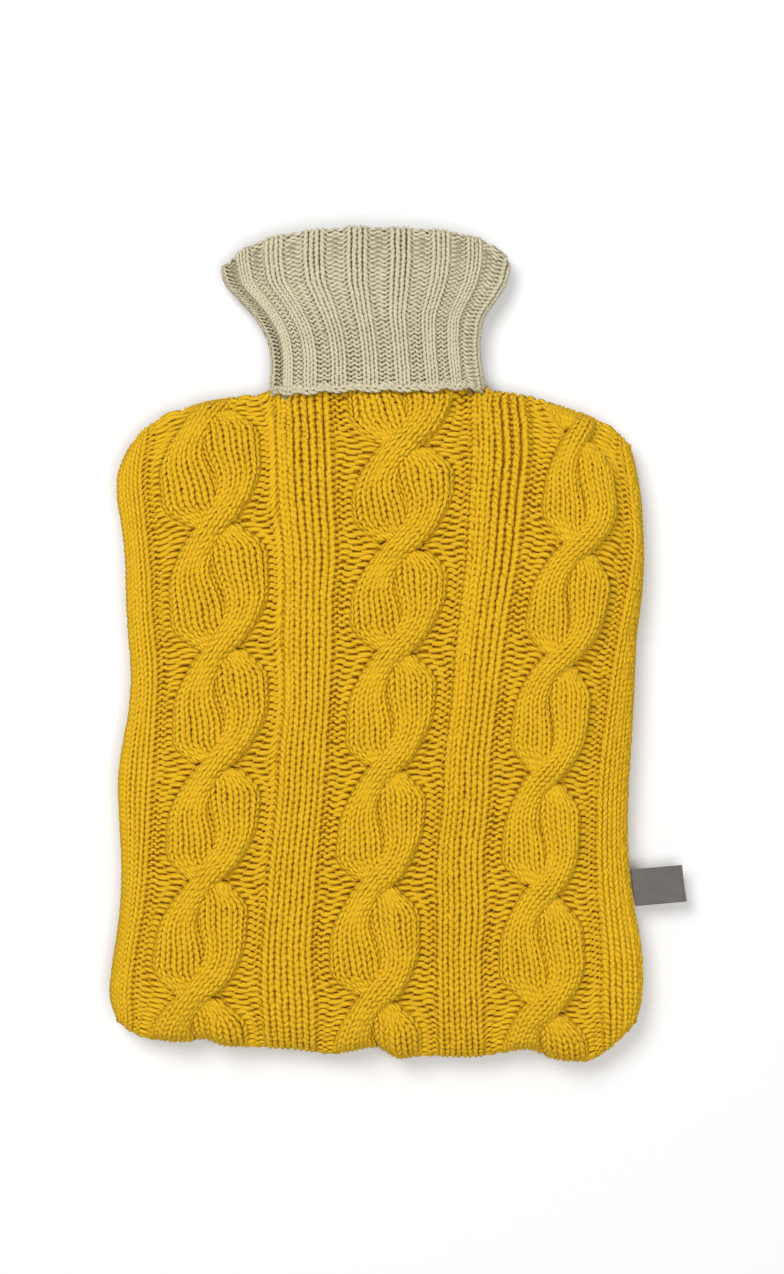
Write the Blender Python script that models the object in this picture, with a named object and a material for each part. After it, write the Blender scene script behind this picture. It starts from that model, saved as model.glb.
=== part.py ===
"""Hot water bottle cover in cable knit, with a roll-over rib collar, lying on its back.

The cover is a hollow bag of two knitted panels, sewn round the sides and the bottom, with a ribbed tube on
its neck that is folded over outwards. It keeps the filled shape, with rounded shoulders and a soft crown.

+X is to the right and +Y runs from the bottom edge to the neck, as seen from above. +Z is up from the
surface that the cover lies on. Sizes are in millimetres, and become metres when a mesh is made.
"""

import bmesh
import bpy
import numpy as np

MM = 0.001

# ---- driving dimensions, in millimetres ----
SEAM_HEIGHT = 12.0      # the side and bottom seam, above the surface
CLEARANCE = 0.3         # between two pieces that meet
WALL = 3.5              # thickness of the knitted cloth at a rib
CROWN_RISE = 16.0       # the front's middle, above the seam
CROWN_REACH = 45.0      # from the outline to where the front is level
CROWN_LUMPS = 0.05      # how uneven the crown is, as a share of its rise
BACK_ROLL = 12.0        # the back rises to the seam within this distance of the outline
SECTION_POWER = 2.5     # how square the bulging sections are
RIM_STEP = 0.5          # the inside stays this far from the plane of the seam

NECK_LINE = 111.5       # the height where the panels end and the collar starts
NECK_LEFT = -48.8
NECK_RIGHT = 31.1
NECK_FRONT_RISE = 11.3  # the neck's front, above the seam
NECK_BACK_LIFT = 5.3    # the neck's back, above the surface
NECK_FADE = (80.0, 107.0)   # heights between which the body narrows to the neck

COLLAR_LAYER = 2.6      # thickness of one layer of rib
COLLAR_GAP_AT_FOLD = 1.0
COLLAR_GAP_AT_HEM = 2.5
COLLAR_RIB_DEPTH = 1.6
COLLAR_GUTTER_SHARE = 0.24  # half a gutter's width, as a share of the way from gutter to gutter

GUTTER_HALF_WIDTH = 3.4
GUTTER_DEPTH = 2.2      # a purl gutter, below the ribs beside it
RELIEF_START = 7.0      # the relief fades out within this distance of the outline
RELIEF_END = (101.0, 107.0)     # heights between which it fades out under the collar
STRAND_HEIGHT = 3.4     # a cable strand, above the ribs
STRAND_HALF_WIDTH = 0.51    # in half widths of the cable
STRAND_SECTION_POWER = 2.2
STRAND_FADE = (0.86, 1.02)  # where a cable falls to its gutters, in half widths of the cable
CROSSING_HALF_LENGTH = 13.0  # how far from a crossing its strands rise and sink
# the strand on top of a crossing, then the one below: side above the crossing, how much higher it is than
# a lone strand, half the length in which it changes sides, how much narrower it is, in half widths
STRANDS = ((1, 1.9, 24.0, 0.13), (-1, -2.2, 13.0, 0.09))
STRAND_SHIFT = 0.16     # how far the groove between strands wanders, in half widths of the cable

LABEL_HEIGHT_SPAN = (-109.6, -94.4)
LABEL_ROOT = 0.4        # from the edge of the panels to the label
LABEL_REACH = 21.8
LABEL_TILT = 0.085      # radians, up towards the outer end
LABEL_LAYER = 1.0
LABEL_GAP = 0.4
LABEL_DROOP = 1.6

# ---- the outline, as the cover lies ----
# height, left edge, right edge
SIDES = (
    (-158.0, -117.6, 99.9),
    (-148.8, -120.8, 102.2),
    (-135.4, -120.2, 102.7),
    (-123.7, -118.4, 101.7),
    (-111.2, -116.8, 99.4),
    (-94.4, -116.2, 97.2),
    (-77.7, -116.8, 96.4),
    (-56.7, -117.6, 97.0),
    (-43.3, -116.0, 98.0),
    (-29.5, -113.5, 98.8),
    (-14.9, -112.3, 99.4),
    (4.0, -113.4, 100.3),
    (18.6, -114.3, 102.2),
    (35.4, -114.7, 103.2),
    (47.9, -116.0, 102.9),
    (63.9, -118.2, 101.7),
    (71.8, -117.7, 100.3),
    (77.7, -115.7, 99.0),
    (83.5, -112.2, 97.2),
)
# across, height of the bottom edge, with its small steps where cables meet the cast-on edge
BOTTOM = (
    (-117.6, -158.0),
    (-112.2, -162.7),
    (-105.9, -165.0),
    (-99.7, -166.2),
    (-88.0, -167.0),
    (-79.2, -165.8),
    (-75.4, -167.8),
    (-62.0, -168.9),
    (-41.0, -170.2),
    (-27.2, -172.0),
    (-20.0, -171.0),
    (-6.4, -170.2),
    (-2.4, -173.0),
    (9.2, -172.9),
    (38.0, -172.6),
    (46.9, -170.9),
    (55.5, -170.2),
    (64.6, -174.0),
    (72.0, -175.0),
    (82.0, -174.2),
    (88.0, -170.4),
    (93.5, -165.4),
    (97.3, -161.6),
    (99.9, -158.0),
)
# across, height of the top edge: shoulder, neck line, shoulder
LEFT_SHOULDER = (
    (-112.2, 83.5),
    (-108.0, 89.3),
    (-103.8, 92.7),
    (-99.7, 95.5),
    (-91.3, 98.8),
    (-82.9, 101.7),
    (-74.5, 103.3),
    (-66.2, 104.4),
    (-56.0, 105.3),
    (-50.0, 105.6),
)
RIGHT_SHOULDER = (
    (32.3, 105.8),
    (40.0, 106.1),
    (46.9, 105.7),
    (55.3, 104.4),
    (63.6, 102.0),
    (70.3, 99.8),
    (77.5, 97.4),
    (84.6, 94.2),
    (89.6, 91.4),
    (94.0, 87.8),
    (97.2, 83.5),
)

# ---- the knitting, as it lies ----
# height, then the middle of each purl gutter from left to right
GUTTERS = (
    (-170.0, -108.0, -58.8, -30.6, 13.4, 40.0, 83.4),
    (-148.8, -107.6, -60.3, -30.6, 12.8, 38.9, 81.6),
    (-127.9, -105.0, -60.0, -31.9, 12.6, 38.4, 81.4),
    (-107.0, -101.9, -58.2, -30.8, 12.6, 39.8, 80.2),
    (-86.0, -100.4, -56.3, -29.3, 12.8, 39.2, 79.2),
    (-65.1, -99.2, -53.6, -27.2, 15.0, 41.4, 79.4),
    (-44.2, -98.0, -52.4, -25.8, 16.2, 42.2, 80.4),
    (-23.2, -97.2, -50.4, -24.4, 18.8, 44.8, 82.9),
    (-2.3, -96.8, -50.8, -23.4, 20.4, 47.2, 85.6),
    (18.6, -98.6, -50.4, -23.2, 22.8, 50.4, 89.2),
    (39.6, -99.6, -50.8, -21.8, 25.2, 54.0, 93.2),
    (60.5, -101.4, -52.8, -22.8, 26.2, 56.2, 95.6),
    (81.4, -103.0, -53.8, -23.4, 27.4, 58.6, 94.0),
    (112.0, -101.0, -55.5, -25.5, 27.0, 57.0, 90.0),
)
# the heights where the strands of each cable cross, left cable first
CROSSINGS = (
    (98.5, 50.0, -1.0, -49.2, -96.5, -144.7),
    (83.5, 41.7, -2.3, -50.5, -97.8, -145.5),
    (87.7, 40.4, -6.5, -54.6, -102.8, -151.0),
)
# soft creases of the cloth: start across, start height, end across, end height, depth, half width
CREASES = (
    (-52.0, 103.0, -27.5, 83.0, 1.5, 4.0),
    (24.0, 104.0, 34.0, 86.0, 0.8, 4.0),
    (-104.0, 84.0, -86.0, 92.0, 0.9, 5.0),
    (70.0, 90.0, 92.0, 78.0, 0.8, 5.0),
    (-118.0, -28.0, -102.0, -16.0, 0.8, 6.0),
)

# ---- the collar, as it lies ----
# height, left edge, right edge, front above the middle, back below the middle, middle above the surface
COLLAR = (
    (103.0, -54.2, 36.8, 16.6, 11.7, 12.0),
    (111.5, -54.0, 36.0, 16.4, 11.6, 12.0),
    (119.1, -53.8, 35.0, 15.8, 11.4, 11.8),
    (129.6, -56.0, 34.9, 15.0, 11.2, 11.5),
    (138.0, -61.0, 36.8, 14.2, 10.9, 11.2),
    (144.2, -66.6, 41.0, 13.5, 10.5, 10.8),
    (150.5, -72.6, 45.2, 13.0, 10.2, 10.5),
    (157.5, -75.0, 47.4, 12.6, 10.0, 10.3),
    (176.0, -75.0, 47.6, 12.5, 10.0, 10.3),
)
# share of the half width, height of the top fold, height of the hem
COLLAR_ENDS = (
    (-1.0, 159.7, 106.9),
    (-0.91, 163.0, 106.6),
    (-0.79, 167.6, 106.0),
    (-0.65, 170.6, 105.8),
    (-0.45, 173.0, 106.3),
    (-0.10, 175.0, 106.7),
    (0.40, 174.2, 106.6),
    (0.60, 173.0, 107.2),
    (0.78, 170.6, 108.0),
    (0.90, 167.9, 108.0),
    (0.98, 163.5, 107.8),
    (1.0, 159.7, 107.8),
)
# the purl gutters on the collar's front, as shares of its width from the left
COLLAR_GUTTERS = (0.044, 0.128, 0.255, 0.400, 0.547, 0.695, 0.820, 0.922)

# ---- the nets that the surfaces are laid on ----
# the corner between shoulder and neck: the net's line, and where it ends
NECK_CORNERS = (
    (2.13, -50.0, 105.6),
    (2.2, -49.4, 108.4),
    (2.32, NECK_LEFT, NECK_LINE),
    (4.13, NECK_RIGHT, NECK_LINE),
    (4.2, 31.7, 108.4),
    (4.32, 32.3, 105.8),
)
# where the net's lines lie between two neighbouring gutters, or a gutter and the edge
EDGE_SHARES = (0.0, 0.05, 0.2, 0.48, 0.78)
CABLE_SHARES = (0.0, 0.075, 0.17, 0.27, 0.38, 0.5, 0.62, 0.73, 0.83, 0.925)
RIB_SHARES = (0.0, 0.13, 0.2, 0.32, 0.6, 0.87)
EDGE_STEPS = (0.0, 1.0, 3.6, 8.0)   # distance from the bottom and top edges of the first net lines
ROW_HEIGHTS = (-171.0, 107.0)       # where the net's first and last rows lie, between the corners
FRONT_ROWS = 60
BACK_NET = (
    0.0, 0.05, 0.2, 0.6, 1.2, 1.7, 2.13, 2.2, 2.32, 2.7, 3.1, 3.4, 3.7, 3.95,
    4.13, 4.2, 4.32, 4.8, 5.2, 5.7, 6.2, 6.6, 6.82, 6.95, 7.0,
)
BACK_ROWS = 28
COLLAR_RIB_CELLS = 6
COLLAR_STATIONS = (0.0, 0.18, 0.37, 0.55, 0.72, 0.87, 1.0)
COLLAR_INNER_STATIONS = (1.0, 0.7, 0.35, 0.0)
LABEL_STATIONS = (0.0, 0.3, 0.6, 0.85, 1.0)
OUTLINE_STEP = 1.5
DISTANCE_POWER = 6      # a higher power keeps closer to the nearest edge alone
NECK_RUN = 90.0         # how far the sides of the neck run on above the neck line
TOUCH = 0.01            # points nearer than this count as one


def clear_scene():
    """Remove every object and mesh that the file starts with."""
    for item in list(bpy.data.objects):
        bpy.data.objects.remove(item, do_unlink=True)
    for mesh in list(bpy.data.meshes):
        bpy.data.meshes.remove(mesh)


def column(table, index):
    """One column of a table."""
    return np.array([row[index] for row in table], float)


def smooth_read(at, knots, values):
    """Read a smooth curve through the knots, with slopes from each knot's neighbours."""
    at = np.clip(np.asarray(at, float), knots[0], knots[-1])
    slopes = np.gradient(values, knots)
    place = np.clip(np.searchsorted(knots, at) - 1, 0, len(knots) - 2)
    span = knots[place + 1] - knots[place]
    u = (at - knots[place]) / span
    start = values[place] * (1 + 2 * u) * (1 - u) ** 2 + slopes[place] * span * u * (1 - u) ** 2
    end = values[place + 1] * u * u * (3 - 2 * u) + slopes[place + 1] * span * u * u * (u - 1)
    return start + end


def smooth_step(value, low, high):
    """0 below low, 1 above high, and a smooth rise between."""
    u = np.clip((np.asarray(value, float) - low) / (high - low), 0.0, 1.0)
    return u * u * (3 - 2 * u)


def left_edge(height):
    """Where the left edge lies at a height."""
    return smooth_read(height, column(SIDES, 0), column(SIDES, 1))


def right_edge(height):
    """Where the right edge lies at a height."""
    return smooth_read(height, column(SIDES, 0), column(SIDES, 2))


def bottom_edge(across):
    """The height of the bottom edge at a place across."""
    return smooth_read(across, column(BOTTOM, 0), column(BOTTOM, 1))


def top_edge(across):
    """The shoulders, and the level neck line between them."""
    across = np.asarray(across, float)
    left = smooth_read(across, column(LEFT_SHOULDER, 0), column(LEFT_SHOULDER, 1))
    right = smooth_read(across, column(RIGHT_SHOULDER, 0), column(RIGHT_SHOULDER, 1))
    in_neck = (across > NECK_LEFT - TOUCH) & (across < NECK_RIGHT + TOUCH)
    middle = (NECK_LEFT + NECK_RIGHT) / 2
    return np.where(in_neck, NECK_LINE, np.where(across < middle, left, right))


def outline_samples():
    """Points and lengths along the closed edge, which runs on up the two sides of the neck."""
    low, high = SIDES[0][0], SIDES[-1][0]
    climb = np.arange(low, high, OUTLINE_STEP)
    sweep = np.arange(BOTTOM[0][0], BOTTOM[-1][0], OUTLINE_STEP / 2)
    left_top = np.arange(LEFT_SHOULDER[0][0], LEFT_SHOULDER[-1][0], OUTLINE_STEP / 2)
    right_top = np.arange(RIGHT_SHOULDER[0][0], RIGHT_SHOULDER[-1][0], OUTLINE_STEP / 2)
    neck = np.arange(LEFT_SHOULDER[-1][1] + OUTLINE_STEP, NECK_LINE + NECK_RUN, OUTLINE_STEP)
    runs = (
        np.column_stack([left_edge(climb), climb]),
        np.column_stack([right_edge(climb), climb]),
        np.column_stack([sweep, bottom_edge(sweep)]),
        np.column_stack([left_top, top_edge(left_top)]),
        np.column_stack([right_top, top_edge(right_top)]),
        np.column_stack([np.full(len(neck), NECK_LEFT), neck]),
        np.column_stack([np.full(len(neck), NECK_RIGHT), neck]),
    )
    lengths = [np.linalg.norm(np.gradient(run, axis=0), axis=1) for run in runs]
    return np.concatenate(runs), np.concatenate(lengths)


def edge_distance(places):
    """Distance from the outline, rounded where two edges are equally near."""
    samples, lengths = outline_samples()
    flat = places.reshape(-1, 2)
    apart = np.linalg.norm(flat[:, None, :] - samples[None, :, :], axis=2)
    apart = np.maximum(apart, 0.2)
    # the sum along an endless straight edge at distance 1, for a power of 6
    straight = 3 * np.pi / 8
    total = (lengths / apart ** DISTANCE_POWER).sum(axis=1) / straight
    return (total ** (-1 / (DISTANCE_POWER - 1))).reshape(places.shape[:-1])


def gutter_lines(height):
    """The left edge, the six gutters and the right edge at a height, as an array with a last axis of 8."""
    heights = column(GUTTERS, 0)
    inner = [smooth_read(height, heights, column(GUTTERS, index)) for index in range(1, 7)]
    return np.stack([left_edge(height), *inner, right_edge(height)], axis=-1)


def net_columns():
    """Where each net line lies, as the number of the line on its left plus a share."""
    zones = (EDGE_SHARES, CABLE_SHARES, RIB_SHARES, CABLE_SHARES, RIB_SHARES, CABLE_SHARES)
    places = [zone + share for zone, shares in enumerate(zones) for share in shares]
    right = [7 - share for share in EDGE_SHARES]
    return np.array(places + sorted(right + [6.0]))


def net_rows(count):
    """Shares of the way up, with close lines near the bottom and top edges."""
    full = NECK_LINE - BOTTOM[0][1]
    near = np.array(EDGE_STEPS) / full
    middle = np.linspace(near[-1], 1 - near[-1], count - 2 * len(near) + 3)
    return np.concatenate([near[:-1], middle, (1 - near[:-1])[::-1]])


def nearest_crossing(height, crossings):
    """The height of the crossing that is nearest to each height."""
    crossings = np.array(crossings)
    return crossings[np.argmin(np.abs(height[..., None] - crossings), axis=-1)]


def cable_wander(height, crossings):
    """How far the groove between two strands lies off the cable's middle, in half widths.

    It runs from the left of the middle, just below a crossing, to the right of it, just above the next.
    """
    spacing = np.abs(np.diff(crossings)).mean()
    share = np.clip((height - nearest_crossing(height, crossings)) / spacing, -0.5, 0.5)
    return STRAND_SHIFT * np.sin(2 * np.pi * share)


def across_shares(columns, up):
    """Each net line's share of the width, in every row."""
    side_height = SIDES[0][0] + up * (SIDES[-1][0] - SIDES[0][0])
    height = ROW_HEIGHTS[0] + up * (ROW_HEIGHTS[1] - ROW_HEIGHTS[0])
    lines = gutter_lines(height)
    lines[:, 0] = left_edge(side_height)
    lines[:, -1] = right_edge(side_height)
    places = np.tile(columns, (len(up), 1))
    for cable, crossings in enumerate(CROSSINGS):
        share = np.clip(columns - 1 - 2 * cable, 0, 1)
        places += 0.5 * cable_wander(height, crossings)[:, None] * (1 - np.abs(2 * share - 1))
    numbers = np.arange(8.0)
    across = np.stack([np.interp(place, numbers, row) for place, row in zip(places, lines)])
    width = lines[:, -1:] - lines[:, :1]
    return (across - lines[:, :1]) / width


def bow(edge, shares):
    """How far an edge's points lie off the straight line between its ends."""
    straight = (1 - shares)[:, None] * edge[0] + shares[:, None] * edge[-1]
    return edge - straight


def lay_net(columns, up):
    """A net of places in plan, whose border follows the outline and the neck line."""
    shares = across_shares(columns, up)
    low, high = SIDES[0][0], SIDES[-1][0]
    side_height = low + up * (high - low)
    left = np.column_stack([left_edge(side_height), side_height])
    right = np.column_stack([right_edge(side_height), side_height])
    bottom_across = BOTTOM[0][0] + shares[0] * (BOTTOM[-1][0] - BOTTOM[0][0])
    top_across = LEFT_SHOULDER[0][0] + shares[-1] * (RIGHT_SHOULDER[-1][0] - LEFT_SHOULDER[0][0])
    bottom = np.column_stack([bottom_across, bottom_edge(bottom_across)])
    top = np.column_stack([top_across, top_edge(top_across)])
    for line, across, height in NECK_CORNERS:
        top[np.isclose(columns, line)] = (across, height)
    s = shares[:, :, None]
    t = up[:, None, None]
    net = (1 - s) * left[:, None, :] + s * right[:, None, :]
    net += (1 - t) * bow(bottom, shares[0]) + t * bow(top, shares[-1])
    net[0] = bottom
    net[-1] = top
    return net


def bulge(distance, reach):
    """0 at the edge, where the surface is upright, to 1 where it is level."""
    share = np.clip(distance / reach, 0.0, 1.0)
    return np.sqrt(1 - (1 - share) ** SECTION_POWER)


def front_height(net, distance):
    """The front's crown, which falls to the neck."""
    neck = smooth_step(net[..., 1], *NECK_FADE)
    half_neck = (NECK_RIGHT - NECK_LEFT) / 2
    reach = CROWN_REACH + (half_neck - CROWN_REACH) * neck
    rise = CROWN_RISE + (NECK_FRONT_RISE - CROWN_RISE) * neck
    lumps = np.sin(net[..., 0] / 31 + 0.6) * np.sin(net[..., 1] / 44 + 1.1)
    swell = 1 + CROWN_LUMPS * lumps * (1 - neck)
    return SEAM_HEIGHT + CLEARANCE / 2 + rise * swell * bulge(distance, reach)


def back_height(net, distance):
    """The level back, which rolls up to the seam and lifts to the neck."""
    neck = smooth_step(net[..., 1], *NECK_FADE)
    floor = NECK_BACK_LIFT * neck
    roll = np.sqrt(1 - (1 - np.clip(distance / BACK_ROLL, 0.0, 1.0)) ** 2)
    fall = roll + (bulge(distance, (NECK_RIGHT - NECK_LEFT) / 2) - roll) * neck
    seam = SEAM_HEIGHT - CLEARANCE / 2
    return seam + (floor - seam) * fall


def strand_relief(across, height, crossings):
    """Height of a rope cable of two strands; across is -1 to 1 between its gutters."""
    wander = cable_wander(height, crossings)
    away = height - nearest_crossing(height, crossings)
    near = np.cos(np.pi / 2 * np.clip(away / CROSSING_HALF_LENGTH, -1, 1)) ** 2
    tops = []
    for side, lift, half_length, squeeze in STRANDS:
        turn = np.pi / 2 * np.clip(away / half_length, -1, 1)
        half_width = STRAND_HALF_WIDTH - squeeze * np.cos(turn) ** 2
        offset = np.abs(across - wander - side * 0.5 * np.sin(turn)) / half_width
        section = np.sqrt(1 - np.clip(offset, 0, 1) ** STRAND_SECTION_POWER)
        tops.append((STRAND_HEIGHT + lift * near) * section)
    return np.maximum(*tops) * (1 - smooth_step(np.abs(across), *STRAND_FADE))


def crease_relief(net):
    """The soft creases, as shallow troughs along short straight lines."""
    depth = np.zeros(net.shape[:-1])
    for start_x, start_y, end_x, end_y, deep, half_width in CREASES:
        start = np.array([start_x, start_y])
        way = np.array([end_x, end_y]) - start
        share = np.clip(((net - start) @ way) / (way @ way), 0, 1)
        apart = np.linalg.norm(net - start - share[..., None] * way, axis=-1)
        ends = np.sin(np.pi * np.clip(share, 0.02, 0.98)) ** 0.5
        depth -= deep * ends * np.exp(-(apart / half_width) ** 2)
    return depth


def knit_relief(net, distance):
    """The front's relief: purl gutters, cable strands and creases, above the level of the ribs."""
    across, height = net[..., 0], net[..., 1]
    lines = gutter_lines(height)
    relief = np.zeros(across.shape)
    for index in range(1, 7):
        offset = np.abs(across - lines[..., index]) / GUTTER_HALF_WIDTH
        relief -= GUTTER_DEPTH * np.exp(-offset ** 4)
    for cable, crossings in enumerate(CROSSINGS):
        first = lines[..., 1 + 2 * cable] + GUTTER_HALF_WIDTH
        last = lines[..., 2 + 2 * cable] - GUTTER_HALF_WIDTH
        share = (2 * across - first - last) / (last - first)
        relief += strand_relief(share, height, crossings)
    relief += crease_relief(net)
    under_hem = smooth_step(height, *RELIEF_END)
    rim = smooth_step(distance, 0.0, RELIEF_START)
    return relief * (1 - under_hem) * rim


def border_places(rows, columns):
    """Row and column numbers round a net's border, anticlockwise from its first corner."""
    bottom = [(0, index) for index in range(columns - 1)]
    right = [(index, columns - 1) for index in range(rows - 1)]
    top = [(rows - 1, index) for index in range(columns - 1, 0, -1)]
    left = [(index, 0) for index in range(rows - 1, 0, -1)]
    return bottom + right + top + left


def net_normals(points, outward):
    """Normals of a net of points, level along its seam and upright across the neck line."""
    normals = np.cross(np.gradient(points, axis=1), np.gradient(points, axis=0)) * outward
    places = border_places(*points.shape[:2])
    border = np.array([points[place] for place in places])
    along = np.roll(border, -1, axis=0) - np.roll(border, 1, axis=0)
    for place, way in zip(places, along):
        across, height, _ = points[place]
        if abs(height - NECK_LINE) > TOUCH:
            normals[place] = (way[1], -way[0], 0.0)
        elif NECK_LEFT + TOUCH < across < NECK_RIGHT - TOUCH:
            normals[place][1] = 0.0
        else:
            normals[place] = (np.sign(across - (NECK_LEFT + NECK_RIGHT) / 2), 0.0, 0.0)
    return normals / np.linalg.norm(normals, axis=-1, keepdims=True)


def add_skin(bm, points):
    """Lay one skin of faces on a net of points, and return its rows of vertices."""
    rows = [[bm.verts.new(point * MM) for point in row] for row in points]
    for lower, upper in zip(rows, rows[1:]):
        for index in range(len(lower) - 1):
            bm.faces.new((lower[index], lower[index + 1], upper[index + 1], upper[index]))
    return rows


def skin_border(rows):
    """The vertices round a skin's border, in order."""
    return [rows[row][column] for row, column in border_places(len(rows), len(rows[0]))]


def close_rim(bm, outer, inner):
    """Join an outer border to an inner one that has half as many vertices."""
    count = len(inner)
    for index in range(count):
        near, far = inner[index], inner[(index + 1) % count]
        first = outer[2 * index]
        middle = outer[2 * index + 1]
        last = outer[(2 * index + 2) % len(outer)]
        bm.faces.new((first, middle, near))
        bm.faces.new((middle, far, near))
        bm.faces.new((middle, last, far))


def finish_object(bm, name, material):
    """Turn a bmesh into a named object with its faces outwards."""
    bmesh.ops.recalc_face_normals(bm, faces=bm.faces)
    mesh = bpy.data.meshes.new(name)
    bm.to_mesh(mesh)
    bm.free()
    mesh.shade_smooth()
    mesh.materials.append(material)
    item = bpy.data.objects.new(name, mesh)
    bpy.context.scene.collection.objects.link(item)
    return item


def make_material(name, colour, roughness):
    """A plain cloth finish."""
    material = bpy.data.materials.new(name)
    material.use_nodes = True
    shader = material.node_tree.nodes["Principled BSDF"]
    shader.inputs["Base Color"].default_value = (*colour, 1.0)
    shader.inputs["Roughness"].default_value = roughness
    shader.inputs["Metallic"].default_value = 0.0
    return material


def build_panel(name, net, height, relief, outward, material):
    """A knitted panel: a relief skin outside, a plain skin inside and a flat rim at the seam."""
    base = np.concatenate([net, height[..., None]], axis=-1)
    normals = net_normals(base, outward)
    outer = base + normals * relief[..., None]
    inner = (base - normals * WALL)[::2, ::2]
    least = base[0, 0, 2] * outward + RIM_STEP
    inner[1:-1, 1:-1, 2] = np.maximum(inner[1:-1, 1:-1, 2] * outward, least) * outward
    bm = bmesh.new()
    outer_rows = add_skin(bm, outer)
    inner_rows = add_skin(bm, inner)
    close_rim(bm, skin_border(outer_rows), skin_border(inner_rows))
    return finish_object(bm, name, material)


def build_front(material):
    """The front panel, with its cables, ribs and gutters."""
    up = net_rows(FRONT_ROWS)
    net = lay_net(net_columns(), up)
    distance = edge_distance(net)
    close_edge(distance, net)
    relief = knit_relief(net, distance)
    return build_panel("front_panel", net, front_height(net, distance), relief, 1.0, material)


def build_back(material):
    """The plain back panel."""
    up = net_rows(BACK_ROWS)
    net = lay_net(np.array(BACK_NET), up)
    distance = edge_distance(net)
    close_edge(distance, net)
    relief = np.zeros(distance.shape)
    return build_panel("back_panel", net, back_height(net, distance), relief, -1.0, material)


def close_edge(distance, net):
    """Set the border's distance to nothing, except along the open neck line."""
    edge = np.ones(distance.shape, bool)
    edge[1:-1, 1:-1] = False
    across = net[..., 0]
    at_neck_line = np.abs(net[..., 1] - NECK_LINE) < TOUCH
    in_neck = at_neck_line & (across > NECK_LEFT) & (across < NECK_RIGHT)
    distance[edge & ~in_neck] = 0.0


def collar_columns():
    """Share of the half width, side of the tube, and depth in a gutter, of each line up the collar."""
    gutters = 2 * np.array(COLLAR_GUTTERS) - 1
    lines = []
    for side in (1, -1):
        marks = np.concatenate([[-2 - gutters[0]], gutters, [2 - gutters[-1]]])
        for left, right in zip(marks, marks[1:]):
            for cell in range(COLLAR_RIB_CELLS):
                phase = cell / COLLAR_RIB_CELLS
                place = left + (right - left) * phase
                if -1 <= place < 1:
                    lines.append((place * side, side, phase))
    return lines


def gutter_depth(phase):
    """1 in the middle of a gutter, 0 on a rib; the phase runs from gutter to gutter."""
    offset = min(phase, 1 - phase) / COLLAR_GUTTER_SHARE
    return float(np.exp(-offset ** 4))


def collar_section(height):
    """Middle, half width, front rise, back fall and seam height of the collar at a height."""
    heights = column(COLLAR, 0)
    left, right, front, back, middle = (
        float(smooth_read(height, heights, column(COLLAR, index))) for index in range(1, 6)
    )
    return (left + right) / 2, (right - left) / 2, front, back, middle


def collar_point(place, side, height, inset):
    """A point of the collar, inset from the outer face of its outer layer."""
    centre, half, front, back, middle = collar_section(height)
    depth = front if side > 0 else back
    level = side * np.sqrt(max(0.0, 1 - abs(place) ** SECTION_POWER))
    normal = np.array([
        SECTION_POWER * np.sign(place) * abs(place) ** (SECTION_POWER - 1) / half,
        2 * level / depth,
    ])
    normal /= np.linalg.norm(normal)
    across = centre + half * place - normal[0] * inset
    up = middle + depth * level - normal[1] * inset
    return np.array([across, height, up])


def collar_profile(place, side, phase):
    """The folded section of the collar along one line: outer layer, fold, inner layer and back."""
    shares = column(COLLAR_ENDS, 0)
    top = float(np.interp(place, shares, column(COLLAR_ENDS, 1)))
    hem = float(np.interp(place, shares, column(COLLAR_ENDS, 2)))
    start = NECK_LINE + CLEARANCE
    radius = COLLAR_LAYER + COLLAR_GAP_AT_FOLD / 2
    turn_height = top - radius
    sunk = COLLAR_RIB_DEPTH * gutter_depth(phase)

    def gap(height):
        share = (turn_height - height) / (turn_height - NECK_LINE)
        return COLLAR_GAP_AT_FOLD + (COLLAR_GAP_AT_HEM - COLLAR_GAP_AT_FOLD) * np.clip(share, 0, 1)

    points = []
    for share in COLLAR_STATIONS:
        points.append((hem + share * (turn_height - hem), sunk))
    for angle in np.radians((35, 70, 110, 145)):
        reach = radius - sunk
        points.append((turn_height + reach * np.sin(angle), radius - reach * np.cos(angle)))
    for share in COLLAR_INNER_STATIONS:
        height = start + share * (turn_height - start)
        points.append((height, 2 * COLLAR_LAYER + gap(height)))
    for share in COLLAR_INNER_STATIONS[::-1]:
        height = start + share * (turn_height - start)
        points.append((height, COLLAR_LAYER + gap(height)))
    points.append((turn_height + COLLAR_GAP_AT_FOLD / 2, radius))
    for share in COLLAR_INNER_STATIONS:
        points.append((hem + share * (turn_height - hem), COLLAR_LAYER))
    return [collar_point(place, side, height, inset) for height, inset in points]


def build_collar(material):
    """The ribbed tube: its folded section carried round the neck."""
    bm = bmesh.new()
    rings = []
    for place, side, phase in collar_columns():
        rings.append([bm.verts.new(point * MM) for point in collar_profile(place, side, phase)])
    for ring, following in zip(rings, rings[1:] + rings[:1]):
        for index in range(len(ring)):
            after = (index + 1) % len(ring)
            bm.faces.new((ring[index], following[index], following[after], ring[after]))
    return finish_object(bm, "neck_collar", material)


def label_profile():
    """The label's folded section: distance out from the seam, and height from its middle."""
    radius = LABEL_LAYER + LABEL_GAP / 2
    turn = LABEL_REACH - radius
    outward = np.array(LABEL_STATIONS) * turn

    def hairpin(level):
        points = [(out, level) for out in outward]
        for angle in np.radians((45, 90, 135)):
            points.append((turn + level * np.sin(angle), level * np.cos(angle)))
        return points + [(out, -level) for out in outward[::-1]]

    return hairpin(radius) + hairpin(LABEL_GAP / 2)[::-1]


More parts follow.
